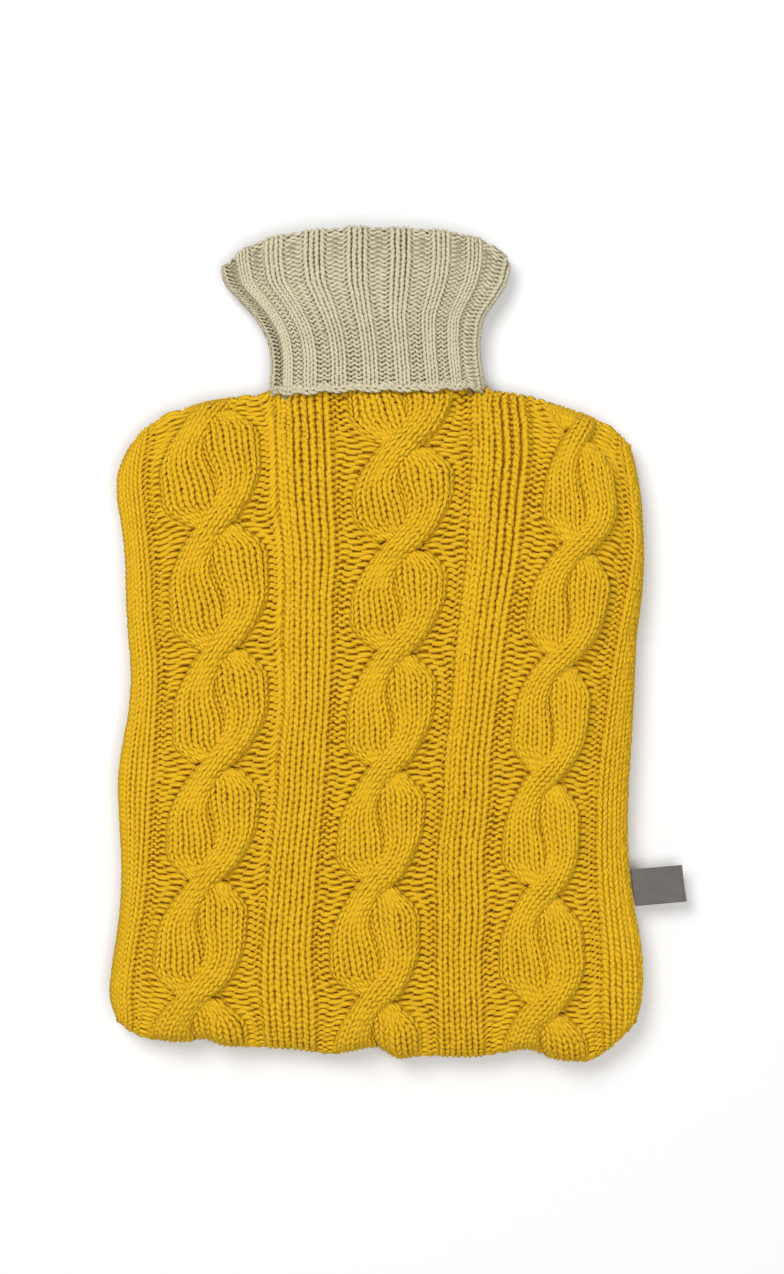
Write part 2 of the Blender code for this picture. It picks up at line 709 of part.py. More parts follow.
def build_label(material):
    """The tape label, folded in two, with its ends at the right seam."""
    bm = bmesh.new()
    low, high = LABEL_HEIGHT_SPAN
    rings = []
    for height in np.linspace(low, high, 5):
        root = float(right_edge(height)) + LABEL_ROOT
        ring = []
        for out, level in label_profile():
            across = root + out * np.cos(LABEL_TILT)
            droop = LABEL_DROOP * (out / LABEL_REACH) ** 2
            point = np.array([across, height + out * np.sin(LABEL_TILT), SEAM_HEIGHT + level - droop])
            ring.append(bm.verts.new(point * MM))
        rings.append(ring)
    for ring, following in zip(rings, rings[1:]):
        for index in range(len(ring)):
            after = (index + 1) % len(ring)
            bm.faces.new((ring[index], following[index], following[after], ring[after]))
    for ring in (rings[0], rings[-1]):
        for index in range(len(ring) // 2 - 1):
            bm.faces.new((ring[index], ring[index + 1], ring[-index - 2], ring[-index - 1]))
    return finish_object(bm, "side_label", material)


def main():
    """Build the four pieces of the cover."""
    clear_scene()
    mustard = make_material("mustard_knit", (0.66, 0.42, 0.02), 0.9)
    cream = make_material("cream_rib", (0.61, 0.56, 0.42), 0.92)
    tape = make_material("grey_tape", (0.15, 0.13, 0.12), 0.75)
    build_front(mustard)
    build_back(mustard)
    build_collar(cream)
    build_label(tape)


main()
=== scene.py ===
"""Hot water bottle cover in cable knit, finished stitch by stitch around its solids.

The cover lies on its back. Each piece of knitting is a base cloth with its yarn laid
over it: every course is a real strand of yarn that passes through its loops, knit or purl, over
cables, ribs and gutters.

Sizes are in millimetres, in the frame of the solids, and become metres when a mesh is made. +X is
to the right and +Y runs from the bottom edge to the neck, as seen from above. +Z is up.
"""

import logging
import math
from collections.abc import Callable
from dataclasses import dataclass, field
from enum import Enum

import bmesh
import bpy
import numpy as np
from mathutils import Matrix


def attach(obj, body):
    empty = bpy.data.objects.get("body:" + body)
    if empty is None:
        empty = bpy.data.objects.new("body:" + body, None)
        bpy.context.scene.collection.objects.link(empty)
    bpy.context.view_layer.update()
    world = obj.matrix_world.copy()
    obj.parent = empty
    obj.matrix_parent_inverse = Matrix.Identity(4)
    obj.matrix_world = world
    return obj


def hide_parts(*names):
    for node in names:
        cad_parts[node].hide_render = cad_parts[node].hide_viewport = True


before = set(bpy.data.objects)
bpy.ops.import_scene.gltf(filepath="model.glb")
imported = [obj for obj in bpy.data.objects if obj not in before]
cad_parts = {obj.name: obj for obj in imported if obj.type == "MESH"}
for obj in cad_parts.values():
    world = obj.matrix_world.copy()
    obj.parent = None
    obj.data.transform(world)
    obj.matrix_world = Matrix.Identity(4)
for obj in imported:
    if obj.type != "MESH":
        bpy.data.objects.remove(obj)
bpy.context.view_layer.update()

Array = np.ndarray
Object = bpy.types.Object
Material = bpy.types.Material
Socket = bpy.types.NodeSocket
Tree = bpy.types.NodeTree
Colour = tuple[float, float, float]

MM = 0.001
CENTIMETRE = 10.0
LEAST_RADIUS = 0.1
LOG = logging.getLogger("cover")

# ---- the outline, as the cover lies ----
# height, left edge, right edge
SIDES = (
    (-158.0, -117.6, 99.9), (-148.8, -120.8, 102.2), (-135.4, -120.2, 102.7),
    (-123.7, -118.4, 101.7), (-111.2, -116.8, 99.4), (-94.4, -116.2, 97.2),
    (-77.7, -116.8, 96.4), (-56.7, -117.6, 97.0), (-43.3, -116.0, 98.0),
    (-29.5, -113.5, 98.8), (-14.9, -112.3, 99.4), (4.0, -113.4, 100.3),
    (18.6, -114.3, 102.2), (35.4, -114.7, 103.2), (47.9, -116.0, 102.9),
    (63.9, -118.2, 101.7), (71.8, -117.7, 100.3), (77.7, -115.7, 99.0),
    (83.5, -112.2, 97.2),
)
# across, height of the bottom edge
BOTTOM = (
    (-117.6, -158.0), (-112.2, -162.7), (-105.9, -165.0), (-99.7, -166.2), (-88.0, -167.0),
    (-79.2, -165.8), (-75.4, -167.8), (-62.0, -168.9), (-41.0, -170.2), (-27.2, -172.0),
    (-20.0, -171.0), (-6.4, -170.2), (-2.4, -173.0), (9.2, -172.9), (38.0, -172.6),
    (46.9, -170.9), (55.5, -170.2), (64.6, -174.0), (72.0, -175.0), (82.0, -174.2),
    (88.0, -170.4), (93.5, -165.4), (97.3, -161.6), (99.9, -158.0),
)
# across, height of the top edge
LEFT_SHOULDER = (
    (-112.2, 83.5), (-108.0, 89.3), (-103.8, 92.7), (-99.7, 95.5), (-91.3, 98.8), (-82.9, 101.7),
    (-74.5, 103.3), (-66.2, 104.4), (-56.0, 105.5), (-50.0, 106.2),
)
RIGHT_SHOULDER = (
    (32.3, 106.9), (40.0, 106.7), (46.9, 105.8), (55.3, 104.4), (63.6, 102.0), (70.3, 99.8),
    (77.5, 97.4), (84.6, 94.2), (89.6, 91.4), (94.0, 87.8), (97.2, 83.5),
)

# ---- the knitting, as it lies ----
# height, then the middle of each purl gutter from left to right
GUTTERS = (
    (-170.0, -108.0, -58.8, -30.6, 13.4, 40.0, 83.4),
    (-148.8, -107.6, -60.3, -30.6, 12.8, 38.9, 81.6),
    (-127.9, -105.0, -60.0, -31.9, 12.6, 38.4, 81.4),
    (-107.0, -101.9, -58.2, -30.8, 12.6, 39.8, 80.2),
    (-86.0, -100.4, -56.3, -29.3, 12.8, 39.2, 79.2),
    (-65.1, -99.2, -53.6, -27.2, 15.0, 41.4, 79.4),
    (-44.2, -98.0, -52.4, -25.8, 16.2, 42.2, 80.4),
    (-23.2, -97.2, -50.4, -24.4, 18.8, 44.8, 82.9),
    (-2.3, -96.8, -50.8, -23.4, 20.4, 47.2, 85.6),
    (18.6, -98.6, -50.4, -23.2, 22.8, 50.4, 89.2),
    (39.6, -99.6, -50.8, -21.8, 25.2, 54.0, 93.2),
    (60.5, -101.4, -52.8, -22.8, 26.2, 56.2, 95.6),
    (81.4, -103.0, -53.8, -23.4, 27.4, 58.6, 94.0),
    (112.0, -101.0, -55.5, -25.5, 27.0, 57.0, 90.0),
)
# the numbers of the lines that run up the front: the side seams, and the gutters between them
LEFT_SEAM, FIRST_GUTTER, LAST_GUTTER, RIGHT_SEAM = 0.0, 1.0, 6.0, 7.0
# the heights where the strands of each cable cross, left cable first
CROSSINGS = (
    (98.5, 50.0, -1.0, -49.2, -96.5, -144.7), (83.5, 41.7, -2.3, -50.5, -97.8, -145.5),
    (87.7, 40.4, -6.5, -54.6, -102.8, -151.0),
)
# soft creases: start across, start height, end across, end height, depth, half width
CREASES = (
    (-52.0, 103.0, -27.5, 83.0, 2.3, 4.0), (24.0, 104.0, 34.0, 86.0, 1.6, 4.0),
    (-104.0, 84.0, -86.0, 92.0, 0.9, 5.0), (70.0, 90.0, 92.0, 78.0, 0.8, 5.0),
    (-118.0, -28.0, -102.0, -16.0, 0.8, 6.0),
)

# ---- the collar, as it lies ----
# height, left edge, right edge, front above the middle, back below it, middle above the surface
COLLAR = (
    (103.0, -54.2, 36.8, 16.6, 11.7, 12.0), (111.5, -54.0, 36.0, 16.4, 11.6, 12.0),
    (119.1, -53.8, 35.0, 15.8, 11.4, 11.8), (129.6, -56.0, 34.9, 15.0, 11.2, 11.5),
    (138.0, -61.0, 36.8, 14.2, 10.9, 11.2), (144.2, -66.6, 41.0, 13.5, 10.5, 10.8),
    (150.5, -72.6, 45.2, 13.0, 10.2, 10.5), (157.5, -75.0, 47.4, 12.6, 10.0, 10.3),
    (176.0, -75.0, 47.6, 12.5, 10.0, 10.3),
)
# share of the half width, height of the top fold, height of the hem
COLLAR_ENDS = (
    (-1.0, 159.7, 106.1), (-0.91, 163.0, 105.9), (-0.79, 167.6, 105.6), (-0.65, 170.6, 105.8),
    (-0.45, 173.0, 106.3), (-0.10, 175.0, 106.7), (0.40, 174.2, 106.6), (0.60, 173.0, 107.2),
    (0.78, 170.6, 107.8), (0.90, 167.9, 107.4), (0.98, 163.5, 107.0), (1.0, 159.7, 107.0),
)
# the purl gutters on the collar's front, as shares of its width from the left
COLLAR_GUTTERS = (0.044, 0.128, 0.255, 0.400, 0.547, 0.695, 0.820, 0.922)


# ---- reading tables ----

def column(table: tuple, index: int) -> Array:
    """One column of a table."""
    return np.array([row[index] for row in table], float)


def smooth_read(at: Array | float, table: tuple, index: int) -> Array:
    """Read a smooth curve through a table's rows.

    Args:
        at: where to read, in the table's first column.
        table: rows of numbers.
        index: the column to read.

    Returns:
        The column's values there, with slopes from each row's neighbours.
    """
    knots, values = column(table, 0), column(table, index)
    at = np.clip(np.asarray(at, float), knots[0], knots[-1])
    slopes = np.gradient(values, knots)
    place = np.clip(np.searchsorted(knots, at) - 1, 0, len(knots) - 2)
    span = knots[place + 1] - knots[place]
    u = (at - knots[place]) / span
    start = values[place] * (1 + 2 * u) * (1 - u) ** 2 + slopes[place] * span * u * (1 - u) ** 2
    end = values[place + 1] * u * u * (3 - 2 * u) + slopes[place + 1] * span * u * u * (u - 1)
    return start + end


def smooth_step(value: Array | float, low: float, high: float) -> Array:
    """0 below low, 1 above high, and a smooth rise between."""
    u = np.clip((np.asarray(value, float) - low) / (high - low), 0.0, 1.0)
    return u * u * (3 - 2 * u)


def unit(vectors: Array) -> Array:
    """Vectors of length 1."""
    return vectors / np.maximum(np.linalg.norm(vectors, axis=-1, keepdims=True), 1e-9)


def run_length(points: Array) -> Array:
    """The length from the first point to each, along one line of points or several."""
    steps = np.linalg.norm(np.diff(points, axis=-2), axis=-1)
    return np.concatenate([0 * steps[..., :1], np.cumsum(steps, axis=-1)], axis=-1)


def read_lines(at: Array, knots: Array, values: Array) -> Array:
    """Read several columns of values at once, between knots."""
    return np.stack([np.interp(at, knots, values[:, k]) for k in range(values.shape[1])], axis=-1)


# ---- the body's surfaces ----

class Face(Enum):
    """The two faces of the body, with the way that each looks."""

    FRONT = 1.0
    BACK = -1.0


@dataclass(frozen=True)
class BodyShape:
    """The outline of the body and the heights of its two faces, as its solids have them."""

    seam_height: float = 12.0
    half_gap: float = 0.15
    crown_rise: float = 16.0
    crown_reach: float = 45.0
    crown_lumps: float = 0.05
    lump_lengths: tuple[float, float] = (31.0, 44.0)
    lump_starts: tuple[float, float] = (0.6, 1.1)
    back_roll: float = 12.0
    section_power: float = 2.5
    neck_line: float = 111.5
    neck_left: float = -48.8
    neck_right: float = 31.1
    neck_front_rise: float = 11.3
    neck_back_lift: float = 5.3
    neck_fade: tuple[float, float] = (80.0, 107.0)
    row_heights: tuple[float, float] = (-171.0, 107.0)
    shoulder_height: float = 105.7
    neck_sweep: float = 8.0
    neck_margin: float = 5.5
    distance_power: int = 6
    outline_step: float = 1.5
    least_distance: float = 0.2
    near_edge: tuple[float, float] = (1.5, 5.0)
    neck_run: float = 90.0

    def gutter_lines(self, height: Array) -> Array:
        """The left edge, the six gutters and the right edge at some heights, eight to a row."""
        lines = [(SIDES, 1), *((GUTTERS, index) for index in range(1, len(GUTTERS[0]))), (SIDES, 2)]
        return np.stack([smooth_read(height, table, index) for table, index in lines], axis=-1)

    def top_edge(self, across: Array) -> Array:
        """The height of the shoulders, and of a level line between them."""
        left, right = (smooth_read(across, table, 1) for table in (LEFT_SHOULDER, RIGHT_SHOULDER))
        return np.where(across < (self.neck_left + self.neck_right) / 2, left, right)

    def outline(self) -> tuple[Array, Array, Array]:
        """Points along the closed edge and up the neck's sides.

        Returns:
            The points, the length that each stands for, and the step from each to the next one.
        """
        low, high = SIDES[0][0], SIDES[-1][0]
        step = self.outline_step
        climb = np.arange(low, high, step)
        sweep = np.arange(BOTTOM[0][0], BOTTOM[-1][0], step / 2)
        left_top = np.arange(LEFT_SHOULDER[0][0], LEFT_SHOULDER[-1][0], step / 2)
        right_top = np.arange(RIGHT_SHOULDER[0][0], RIGHT_SHOULDER[-1][0], step / 2)
        neck = np.arange(LEFT_SHOULDER[-1][1] + step, self.neck_line + self.neck_run, step)
        pairs = (
            (smooth_read(climb, SIDES, 1), climb),
            (smooth_read(climb, SIDES, 2), climb),
            (sweep, smooth_read(sweep, BOTTOM, 1)),
            (left_top, self.top_edge(left_top)),
            (right_top, self.top_edge(right_top)),
            (np.full(len(neck), self.neck_left), neck),
            (np.full(len(neck), self.neck_right), neck),
        )
        runs = [np.column_stack(pair) for pair in pairs]
        slopes = [np.gradient(run, axis=0) for run in runs]
        lengths = [np.linalg.norm(slope, axis=1) for slope in slopes]
        steps = [np.diff(run, axis=0, append=2 * run[-1:] - run[-2:-1]) for run in runs]
        return np.concatenate(runs), np.concatenate(lengths), np.concatenate(steps)

    def edge_distance(self, places: Array) -> Array:
        """Distance of places in plan from the outline, rounded where two edges are equally near.

        Args:
            places: rows by columns by two.

        Returns:
            The distances, rows by columns.
        """
        samples, lengths, steps = self.outline()
        straight = 3 * math.pi / 8  # what a straight edge sums up to at a distance of 1
        squared = (steps ** 2).sum(axis=1)
        rows = []
        for row in places:
            away = row[:, None, :] - samples[None, :, :]
            apart = np.maximum(np.linalg.norm(away, axis=2), self.least_distance)
            total = (lengths / apart ** self.distance_power).sum(axis=1) / straight
            rounded = total ** (-1 / (self.distance_power - 1))
            along = np.clip((away * steps).sum(axis=2) / squared, 0, 1)
            nearest = np.linalg.norm(away - along[..., None] * steps, axis=2).min(axis=1)
            share = smooth_step(nearest, *self.near_edge)
            rows.append(nearest + (rounded - nearest) * share)
        return np.array(rows)

    def plan(self, lines: Array, up: Array) -> Array:
        """Places in plan where net lines, numbered 0 to 7, meet levels at shares of the way up.

        Args:
            lines: net lines, 0 at the left edge, 1 to 6 at the gutters and 7 at the right edge.
            up: shares of the way from the bottom edge to the top edge.

        Returns:
            An array of levels by lines by two.
        """
        low, high = SIDES[0][0], SIDES[-1][0]
        side_height = low + up * (high - low)
        start, stop = self.row_heights
        at = self.gutter_lines(start + up * (stop - start))
        at[:, 0] = smooth_read(side_height, SIDES, 1)
        at[:, -1] = smooth_read(side_height, SIDES, 2)
        numbers = np.arange(LEFT_SEAM, RIGHT_SEAM + 1)
        across = np.stack([np.interp(lines, numbers, row) for row in at])
        shares = (across - at[:, :1]) / (at[:, -1:] - at[:, :1])
        left = np.column_stack([at[:, 0], side_height])
        right = np.column_stack([at[:, -1], side_height])
        bottom_across = BOTTOM[0][0] + shares[0] * (BOTTOM[-1][0] - BOTTOM[0][0])
        bottom = np.column_stack([bottom_across, smooth_read(bottom_across, BOTTOM, 1)])
        top_start, top_end = LEFT_SHOULDER[0][0], RIGHT_SHOULDER[-1][0]
        top_across = top_start + shares[-1] * (top_end - top_start)
        top = np.column_stack([top_across, self.top_edge(top_across)])
        s, t = shares[:, :, None], up[:, None, None]
        net = (1 - s) * left[:, None, :] + s * right[:, None, :]
        net += (1 - t) * self.bow(bottom, shares[0]) + t * self.bow(top, shares[-1])
        net[..., 1] += self.neck_rise(top_across) * (up[:, None] ** self.neck_sweep)
        return net

    def neck_rise(self, across: Array) -> Array:
        """How far the cloth runs on above the shoulders, between the sides of the neck.

        Args:
            across: places across.

        Returns:
            The rise there.
        """
        middle = (self.neck_left + self.neck_right) / 2
        half = (self.neck_right - self.neck_left) / 2 + self.neck_margin
        share = np.clip(np.abs(across - middle) / half, 0, 1)
        return (self.neck_line - self.shoulder_height) * (1 - share ** self.neck_sweep)

    @staticmethod
    def bow(edge: Array, shares: Array) -> Array:
        """How far an edge's points lie off the straight line between its ends."""
        return edge - ((1 - shares)[:, None] * edge[0] + shares[:, None] * edge[-1])

    def bulge(self, distance: Array, reach: Array | float) -> Array:
        """0 at the edge, where the surface is upright, to 1 where it is level."""
        share = np.clip(distance / reach, 0.0, 1.0)
        return np.sqrt(1 - (1 - share) ** self.section_power)

    def height(self, face: Face, places: Array, distance: Array) -> Array:
        """How high one face of the body lies.

        Args:
            face: the front or the back.
            places: places in plan.
            distance: how far they are from the outline.

        Returns:
            The heights above the surface.
        """
        neck = smooth_step(places[..., 1], *self.neck_fade)
        half_neck = (self.neck_right - self.neck_left) / 2
        if face is Face.FRONT:
            reach = self.crown_reach + (half_neck - self.crown_reach) * neck
            rise = self.crown_rise + (self.neck_front_rise - self.crown_rise) * neck
            waves = [
                np.sin(places[..., axis] / self.lump_lengths[axis] + self.lump_starts[axis])
                for axis in (0, 1)
            ]
            swell = 1 + self.crown_lumps * (waves[0] * waves[1]) * (1 - neck)
            return self.seam_height + self.half_gap + rise * swell * self.bulge(distance, reach)
        floor = self.neck_back_lift * neck
        roll = np.sqrt(1 - (1 - np.clip(distance / self.back_roll, 0.0, 1.0)) ** 2)
        fall = roll + (self.bulge(distance, half_neck) - roll) * neck
        seam = self.seam_height - self.half_gap
        return seam + (floor - seam) * fall


@dataclass
class FaceNet:
    """One face of the body as a dense net: net lines by evenly spaced knitted rows.

    A point of the net has four numbers: its place, and its distance from the outline.
    """

    shape: BodyShape
    face: Face
    rows: int
    row_samples: int = 2
    levels: int = 160
    edge_cells: int = 24
    middle_cells: int = 120
    edge_crowding: float = 1.8
    lines: Array = field(init=False)
    points: Array = field(init=False)
    normals: Array = field(init=False)

    def __post_init__(self) -> None:
        """Lay the net, space its rows evenly along the cloth, and find its normals."""
        edge = np.linspace(LEFT_SEAM, FIRST_GUTTER, self.edge_cells + 1) ** self.edge_crowding
        middle = np.linspace(FIRST_GUTTER, LAST_GUTTER, self.middle_cells + 1)[1:-1]
        self.lines = np.concatenate([edge, middle, RIGHT_SEAM - edge[::-1]])
        up = 0.5 * (1 - np.cos(np.pi * np.linspace(0, 1, self.levels + 1)))
        places = self.shape.plan(self.lines, up)
        distance = self.shape.edge_distance(places)
        top = places[-1, :, 0]
        on_shoulder = (top < LEFT_SHOULDER[-1][0]) | (top > RIGHT_SHOULDER[0][0])
        distance[0] = distance[:, 0] = distance[:, -1] = 0.0
        distance[-1, on_shoulder] = 0.0
        level = self.shape.height(self.face, places, distance)
        dense = np.concatenate([places, level[..., None], distance[..., None]], axis=-1)
        at = np.linspace(0, 1, self.rows * self.row_samples + 1)
        columns = []
        for number in range(len(self.lines)):
            line = dense[:, number]
            run = run_length(line[:, :3])
            columns.append(read_lines(at * run[-1], run, line))
        self.points = np.stack(columns, axis=1)
        across = np.gradient(self.points[..., :3], axis=1)
        along = np.gradient(self.points[..., :3], axis=0)
        self.normals = unit(np.cross(across, along)) * self.face.value

    def levels_at(self, cells: int) -> Array:
        """The rows of the net that divide it into a number of cells."""
        return np.linspace(0, self.rows * self.row_samples, cells + 1).round().astype(int)

    def read(self, row: int, lines: Array) -> tuple[Array, Array]:
        """Points and normals on some net lines, in one row of the net."""
        nets = self.points[row], self.normals[row]
        points, normals = (read_lines(lines, self.lines, net) for net in nets)
        return points, unit(normals)


@dataclass(frozen=True)
class CableRelief:
    """How the cables, ribs and gutters stand out of the front."""

    gutter_half_width: float = 3.4
    gutter_depth: float = 2.2
    gutter_power: int = 4
    strand_height: float = 3.4
    strand_half_width: float = 0.51
    strand_power: float = 2.2
    lift: float = 1.9
    sink: float = 2.2
    rise_length: float = 13.0
    turn_length: tuple[float, float] = (24.0, 13.0)
    squeeze: tuple[float, float] = (0.13, 0.09)
    shift: float = 0.16
    strand_fade: tuple[float, float] = (0.86, 1.02)
    rim: float = 7.0
    under_hem: tuple[float, float] = (101.0, 107.0)
    crease_span: tuple[float, float] = (0.02, 0.98)

    def nearest(self, height: Array, cable: int) -> tuple[Array, Array]:
        """The number and the height of the crossing that is nearest to each height."""
        number = np.argmin(np.abs(height[..., None] - np.array(CROSSINGS[cable])), axis=-1)
        return number, np.array(CROSSINGS[cable])[number]

    def wander(self, height: Array, cable: int) -> Array:
        """How far the groove between the strands lies off the cable's middle, in half widths.

        The outer edges stay where they are: one strand is wider there and the other narrower.

        Args:
            height: heights on the front.
            cable: the cable's number.

        Returns:
            The groove's distance from the middle, to the right.
        """
        number, crossing = self.nearest(height, cable)
        away = height - crossing
        spacings = np.abs(np.diff(CROSSINGS[cable]))
        beside = np.clip(np.where(away > 0, number - 1, number), 0, len(spacings) - 1)
        return self.shift * np.sin(2 * np.pi * np.clip(away / spacings[beside], -0.5, 0.5))

    def strand(self, height: Array, cable: int, side: Array | float) -> tuple[Array, Array, Array]:
        """A strand at some heights, with its widths in half widths of the cable.

        Args:
            height: heights on the front.
            cable: the cable's number.
            side: 1 for the strand on top of the nearest crossing, -1 for the one below.

        Returns:
            The strand's middle, half width and rise.
        """
        away = height - self.nearest(height, cable)[1]
        on_top = np.asarray(side) > 0
        turn = np.pi / 2 * np.clip(away / np.where(on_top, *self.turn_length), -1, 1)
        moved, place = self.wander(height, cable) / 2, side * np.sin(turn)
        centre = moved + 0.5 * place
        half_width = self.strand_half_width - moved * place
        half_width = half_width - np.where(on_top, *self.squeeze) * np.cos(turn) ** 2
        near = np.cos(np.pi / 2 * np.clip(away / self.rise_length, -1, 1)) ** 2
        rise = self.strand_height + np.where(on_top, self.lift, -self.sink) * near
        return centre, half_width, rise

    def cable(self, across: Array, height: Array, cable: int, slim: float) -> Array:
        """How high a whole cable stands.

        Args:
            across: places from -1 to 1 between the cable's gutters.
            height: heights on the front.
            cable: the cable's number.
            slim: how much narrower the strands are.

        Returns:
            The rise of the cable's two strands, whichever is on top.
        """
        tops = []
        for side in (1.0, -1.0):
            centre, half_width, rise = self.strand(height, cable, side)
            offset = np.clip(np.abs(across - centre) / (half_width - slim), 0, 1)
            tops.append(rise * np.sqrt(1 - offset ** self.strand_power))
        return np.maximum(*tops) * (1 - smooth_step(np.abs(across), *self.strand_fade))

    def gutter(self, offset: Array) -> Array:
        """The depth of a gutter at a distance from its middle."""
        return -self.gutter_depth * np.exp(-(offset / self.gutter_half_width) ** self.gutter_power)

    def ground(self, across: Array, gutters: Array) -> Array:
        """The depth of the cloth beside and under the cables, at some places in one row.

        Args:
            across: the places.
            gutters: the middles of the six gutters in that row, with a cable after each odd one.

        Returns:
            The depths: the gutters' own, kept under each cable from gutter to gutter.
        """
        depth = np.zeros(len(across))
        for left, right in zip(gutters[::2], gutters[1::2]):
            outside = np.maximum(np.maximum(left - across, across - right), 0.0)
            depth = np.minimum(depth, self.gutter(outside))
        return depth

    def creases(self, places: Array) -> Array:
        """The soft creases, as shallow troughs along short straight lines.

        Args:
            places: places in plan.

        Returns:
            The depths there, 0 or less.
        """
        depth = np.zeros(places.shape[:-1])
        for start_x, start_y, end_x, end_y, deep, half_width in CREASES:
            start = np.array([start_x, start_y])
            way = np.array([end_x, end_y]) - start
            share = np.clip(((places - start) @ way) / (way @ way), 0, 1)
            apart = np.linalg.norm(places - start - share[..., None] * way, axis=-1)
            ends = np.sin(np.pi * np.clip(share, *self.crease_span)) ** 0.5
            depth -= deep * ends * np.exp(-(apart / half_width) ** 2)
        return depth

    def fade(self, points: Array) -> Array:
        """Where the relief shows: 0 at the rim and under the collar, 1 elsewhere."""
        below_hem = 1 - smooth_step(points[..., 1], *self.under_hem)
        return below_hem * smooth_step(points[..., 3], 0, self.rim)


# ---- yarn and stitches ----

class Stitch(Enum):
    """Which way a loop is drawn through the one below it."""

    KNIT = 1.0
    PURL = -1.0


K, P = Stitch.KNIT, Stitch.PURL

SEED_STEP = 100  # between the random draws of one piece and those of the next


@dataclass(frozen=True)
class Yarn:
    """A yarn, and the shape of the loops that it is knitted in.

    Fields:
        radius: half the yarn's width.
        flatness: its thickness as a share of its width.
        depth: how far a loop's legs stand out of the middle of the cloth.
        reach: half the height of a knit loop and of a purl loop, in rows.
        bow: how far a knit loop and a purl loop close in at the foot.
        pitch: the width of a wale that the yarn's own width suits; it spreads in wider ones.
        knit_steps: where a knit loop has its points, in half turns from sinker to sinker.
        purl_steps: the same for a purl loop, whose head and sinkers show.
        sides: sides of the tube.
        lean: how far the foot of a knit loop stands in front of its head.
        swell: how much thicker the yarn is where it stands out than in the middle of the cloth.
        purl_slim: how much thinner it is in purl loops, which are pulled across the cloth.
        unevenness: how much its thickness and its lift change from stitch to stitch.
        most_spread: how much wider it gets at most, where the wales are wide.
        wale_drift: how far a stitch strays across, in wales.
        row_drift: how far a stitch strays up or down, in rows.
        turn_over: the part of a stitch, in half turns, that bends towards its neighbour's side.
    """

    radius: float
    flatness: float
    depth: float
    reach: tuple[float, float]
    bow: tuple[float, float]
    pitch: float
    knit_steps: tuple[float, ...]
    purl_steps: tuple[float, ...]
    sides: int = 4
    lean: float = 0.0
    swell: float = 0.1
    purl_slim: float = 0.16
    unevenness: float = 0.05
    most_spread: float = 1.25
    wale_drift: float = 0.035
    row_drift: float = 0.06
    turn_over: float = 0.35

    @property
    def half_thickness(self) -> float:
        """From the middle of the cloth to its face."""
        return self.depth + self.radius * self.flatness

    def steps(self, stitches: tuple[Stitch, ...]) -> tuple[Array, ...]:
        """The points of one course.

        Args:
            stitches: the stitches from left to right.

        Returns:
            Each point's wale, its turn in radians, the side that it stands out to, from -1 to 1,
            and its loop's reach and bow.
        """
        wales, turns, sides = [], [], []
        last = len(stitches) - 1
        for wale, stitch in enumerate(stitches):
            before = stitches[max(wale - 1, 0)].value
            after = stitches[min(wale + 1, last)].value
            steps = self.knit_steps if stitch is Stitch.KNIT else self.purl_steps
            for step in steps + ((2.0,) if wale == last else ()):
                near = before if step < 1 else after
                inwards = min(1.0, min(step, 2 - step) / self.turn_over)
                blend = 0.5 * (1 + math.cos(math.pi * inwards))
                wales.append(wale)
                turns.append(step * math.pi)
                sides.append(stitch.value + (near - stitch.value) * 0.5 * blend)
        side = np.array(sides)
        reach, bow = (np.interp(side, (-1.0, 1.0), pair[::-1]) for pair in (self.reach, self.bow))
        return np.array(wales), np.array(turns), side, reach, bow


@dataclass
class Patch:
    """A stretch of cloth: the middle of its yarn layer, on a net of wales and rows."""

    points: Array
    normals: Array
    stitches: tuple[Stitch, ...]
    wale_samples: int
    row_samples: int
    first_wale: int = 0

    @classmethod
    def from_points(cls, points: Array, way: float, **facts: object) -> "Patch":
        """A patch whose normals are worked out from its points; a way of -1 turns them round."""
        normals = unit(np.cross(np.gradient(points, axis=1), np.gradient(points, axis=0))) * way
        return cls(points, normals, **facts)

    def read(self, wale: Array, row: Array) -> tuple[Array, Array]:
        """Read the cloth between the points of its net.

        Args:
            wale: wales, which need not be whole numbers.
            row: rows, likewise.

        Returns:
            The points and the normals.
        """
        u = np.clip(wale * self.wale_samples, 0, self.points.shape[1] - 1.001)
        v = np.clip(row * self.row_samples, 0, self.points.shape[0] - 1.001)
        u0, v0 = u.astype(int), v.astype(int)
        fu, fv = (u - u0)[..., None], (v - v0)[..., None]

        def blend(values: Array) -> Array:
            """Values between the four nearest points."""
            low, high = (values[v, u0] * (1 - fu) + values[v, u0 + 1] * fu for v in (v0, v0 + 1))
            return low * (1 - fv) + high * fv

        return blend(self.points), unit(blend(self.normals))

    def wale_width(self, wale: Array, row: Array) -> Array:
        """The width of the wales at some places.

        Args:
            wale: wales, which need not be whole numbers.
            row: rows, likewise.

        Returns:
            The widths.
        """
        quarter = 0.25
        middle = np.clip(wale, quarter, len(self.stitches) - quarter)
        left, _ = self.read(middle - quarter, row)
        right, _ = self.read(middle + quarter, row)
        return 2 * np.linalg.norm(right - left, axis=-1)


@dataclass
class Courses:
    """Several courses of one patch, each a strand of yarn.

    Fields:
        rings: the points of the tubes, courses by points by sides.
        along: the length of yarn up to each ring.
        tone: how light or dark each ring is.
        sunk: how deep each point lies in the cloth, from 0 at its face; the yarn's finish paints
            shade with it.
        lanes: the courses' rows.
        span: the wale that each ring is in, with its share of the way across.
    """

    rings: Array
    along: Array
    tone: Array
    sunk: Array
    lanes: Array
    span: Array


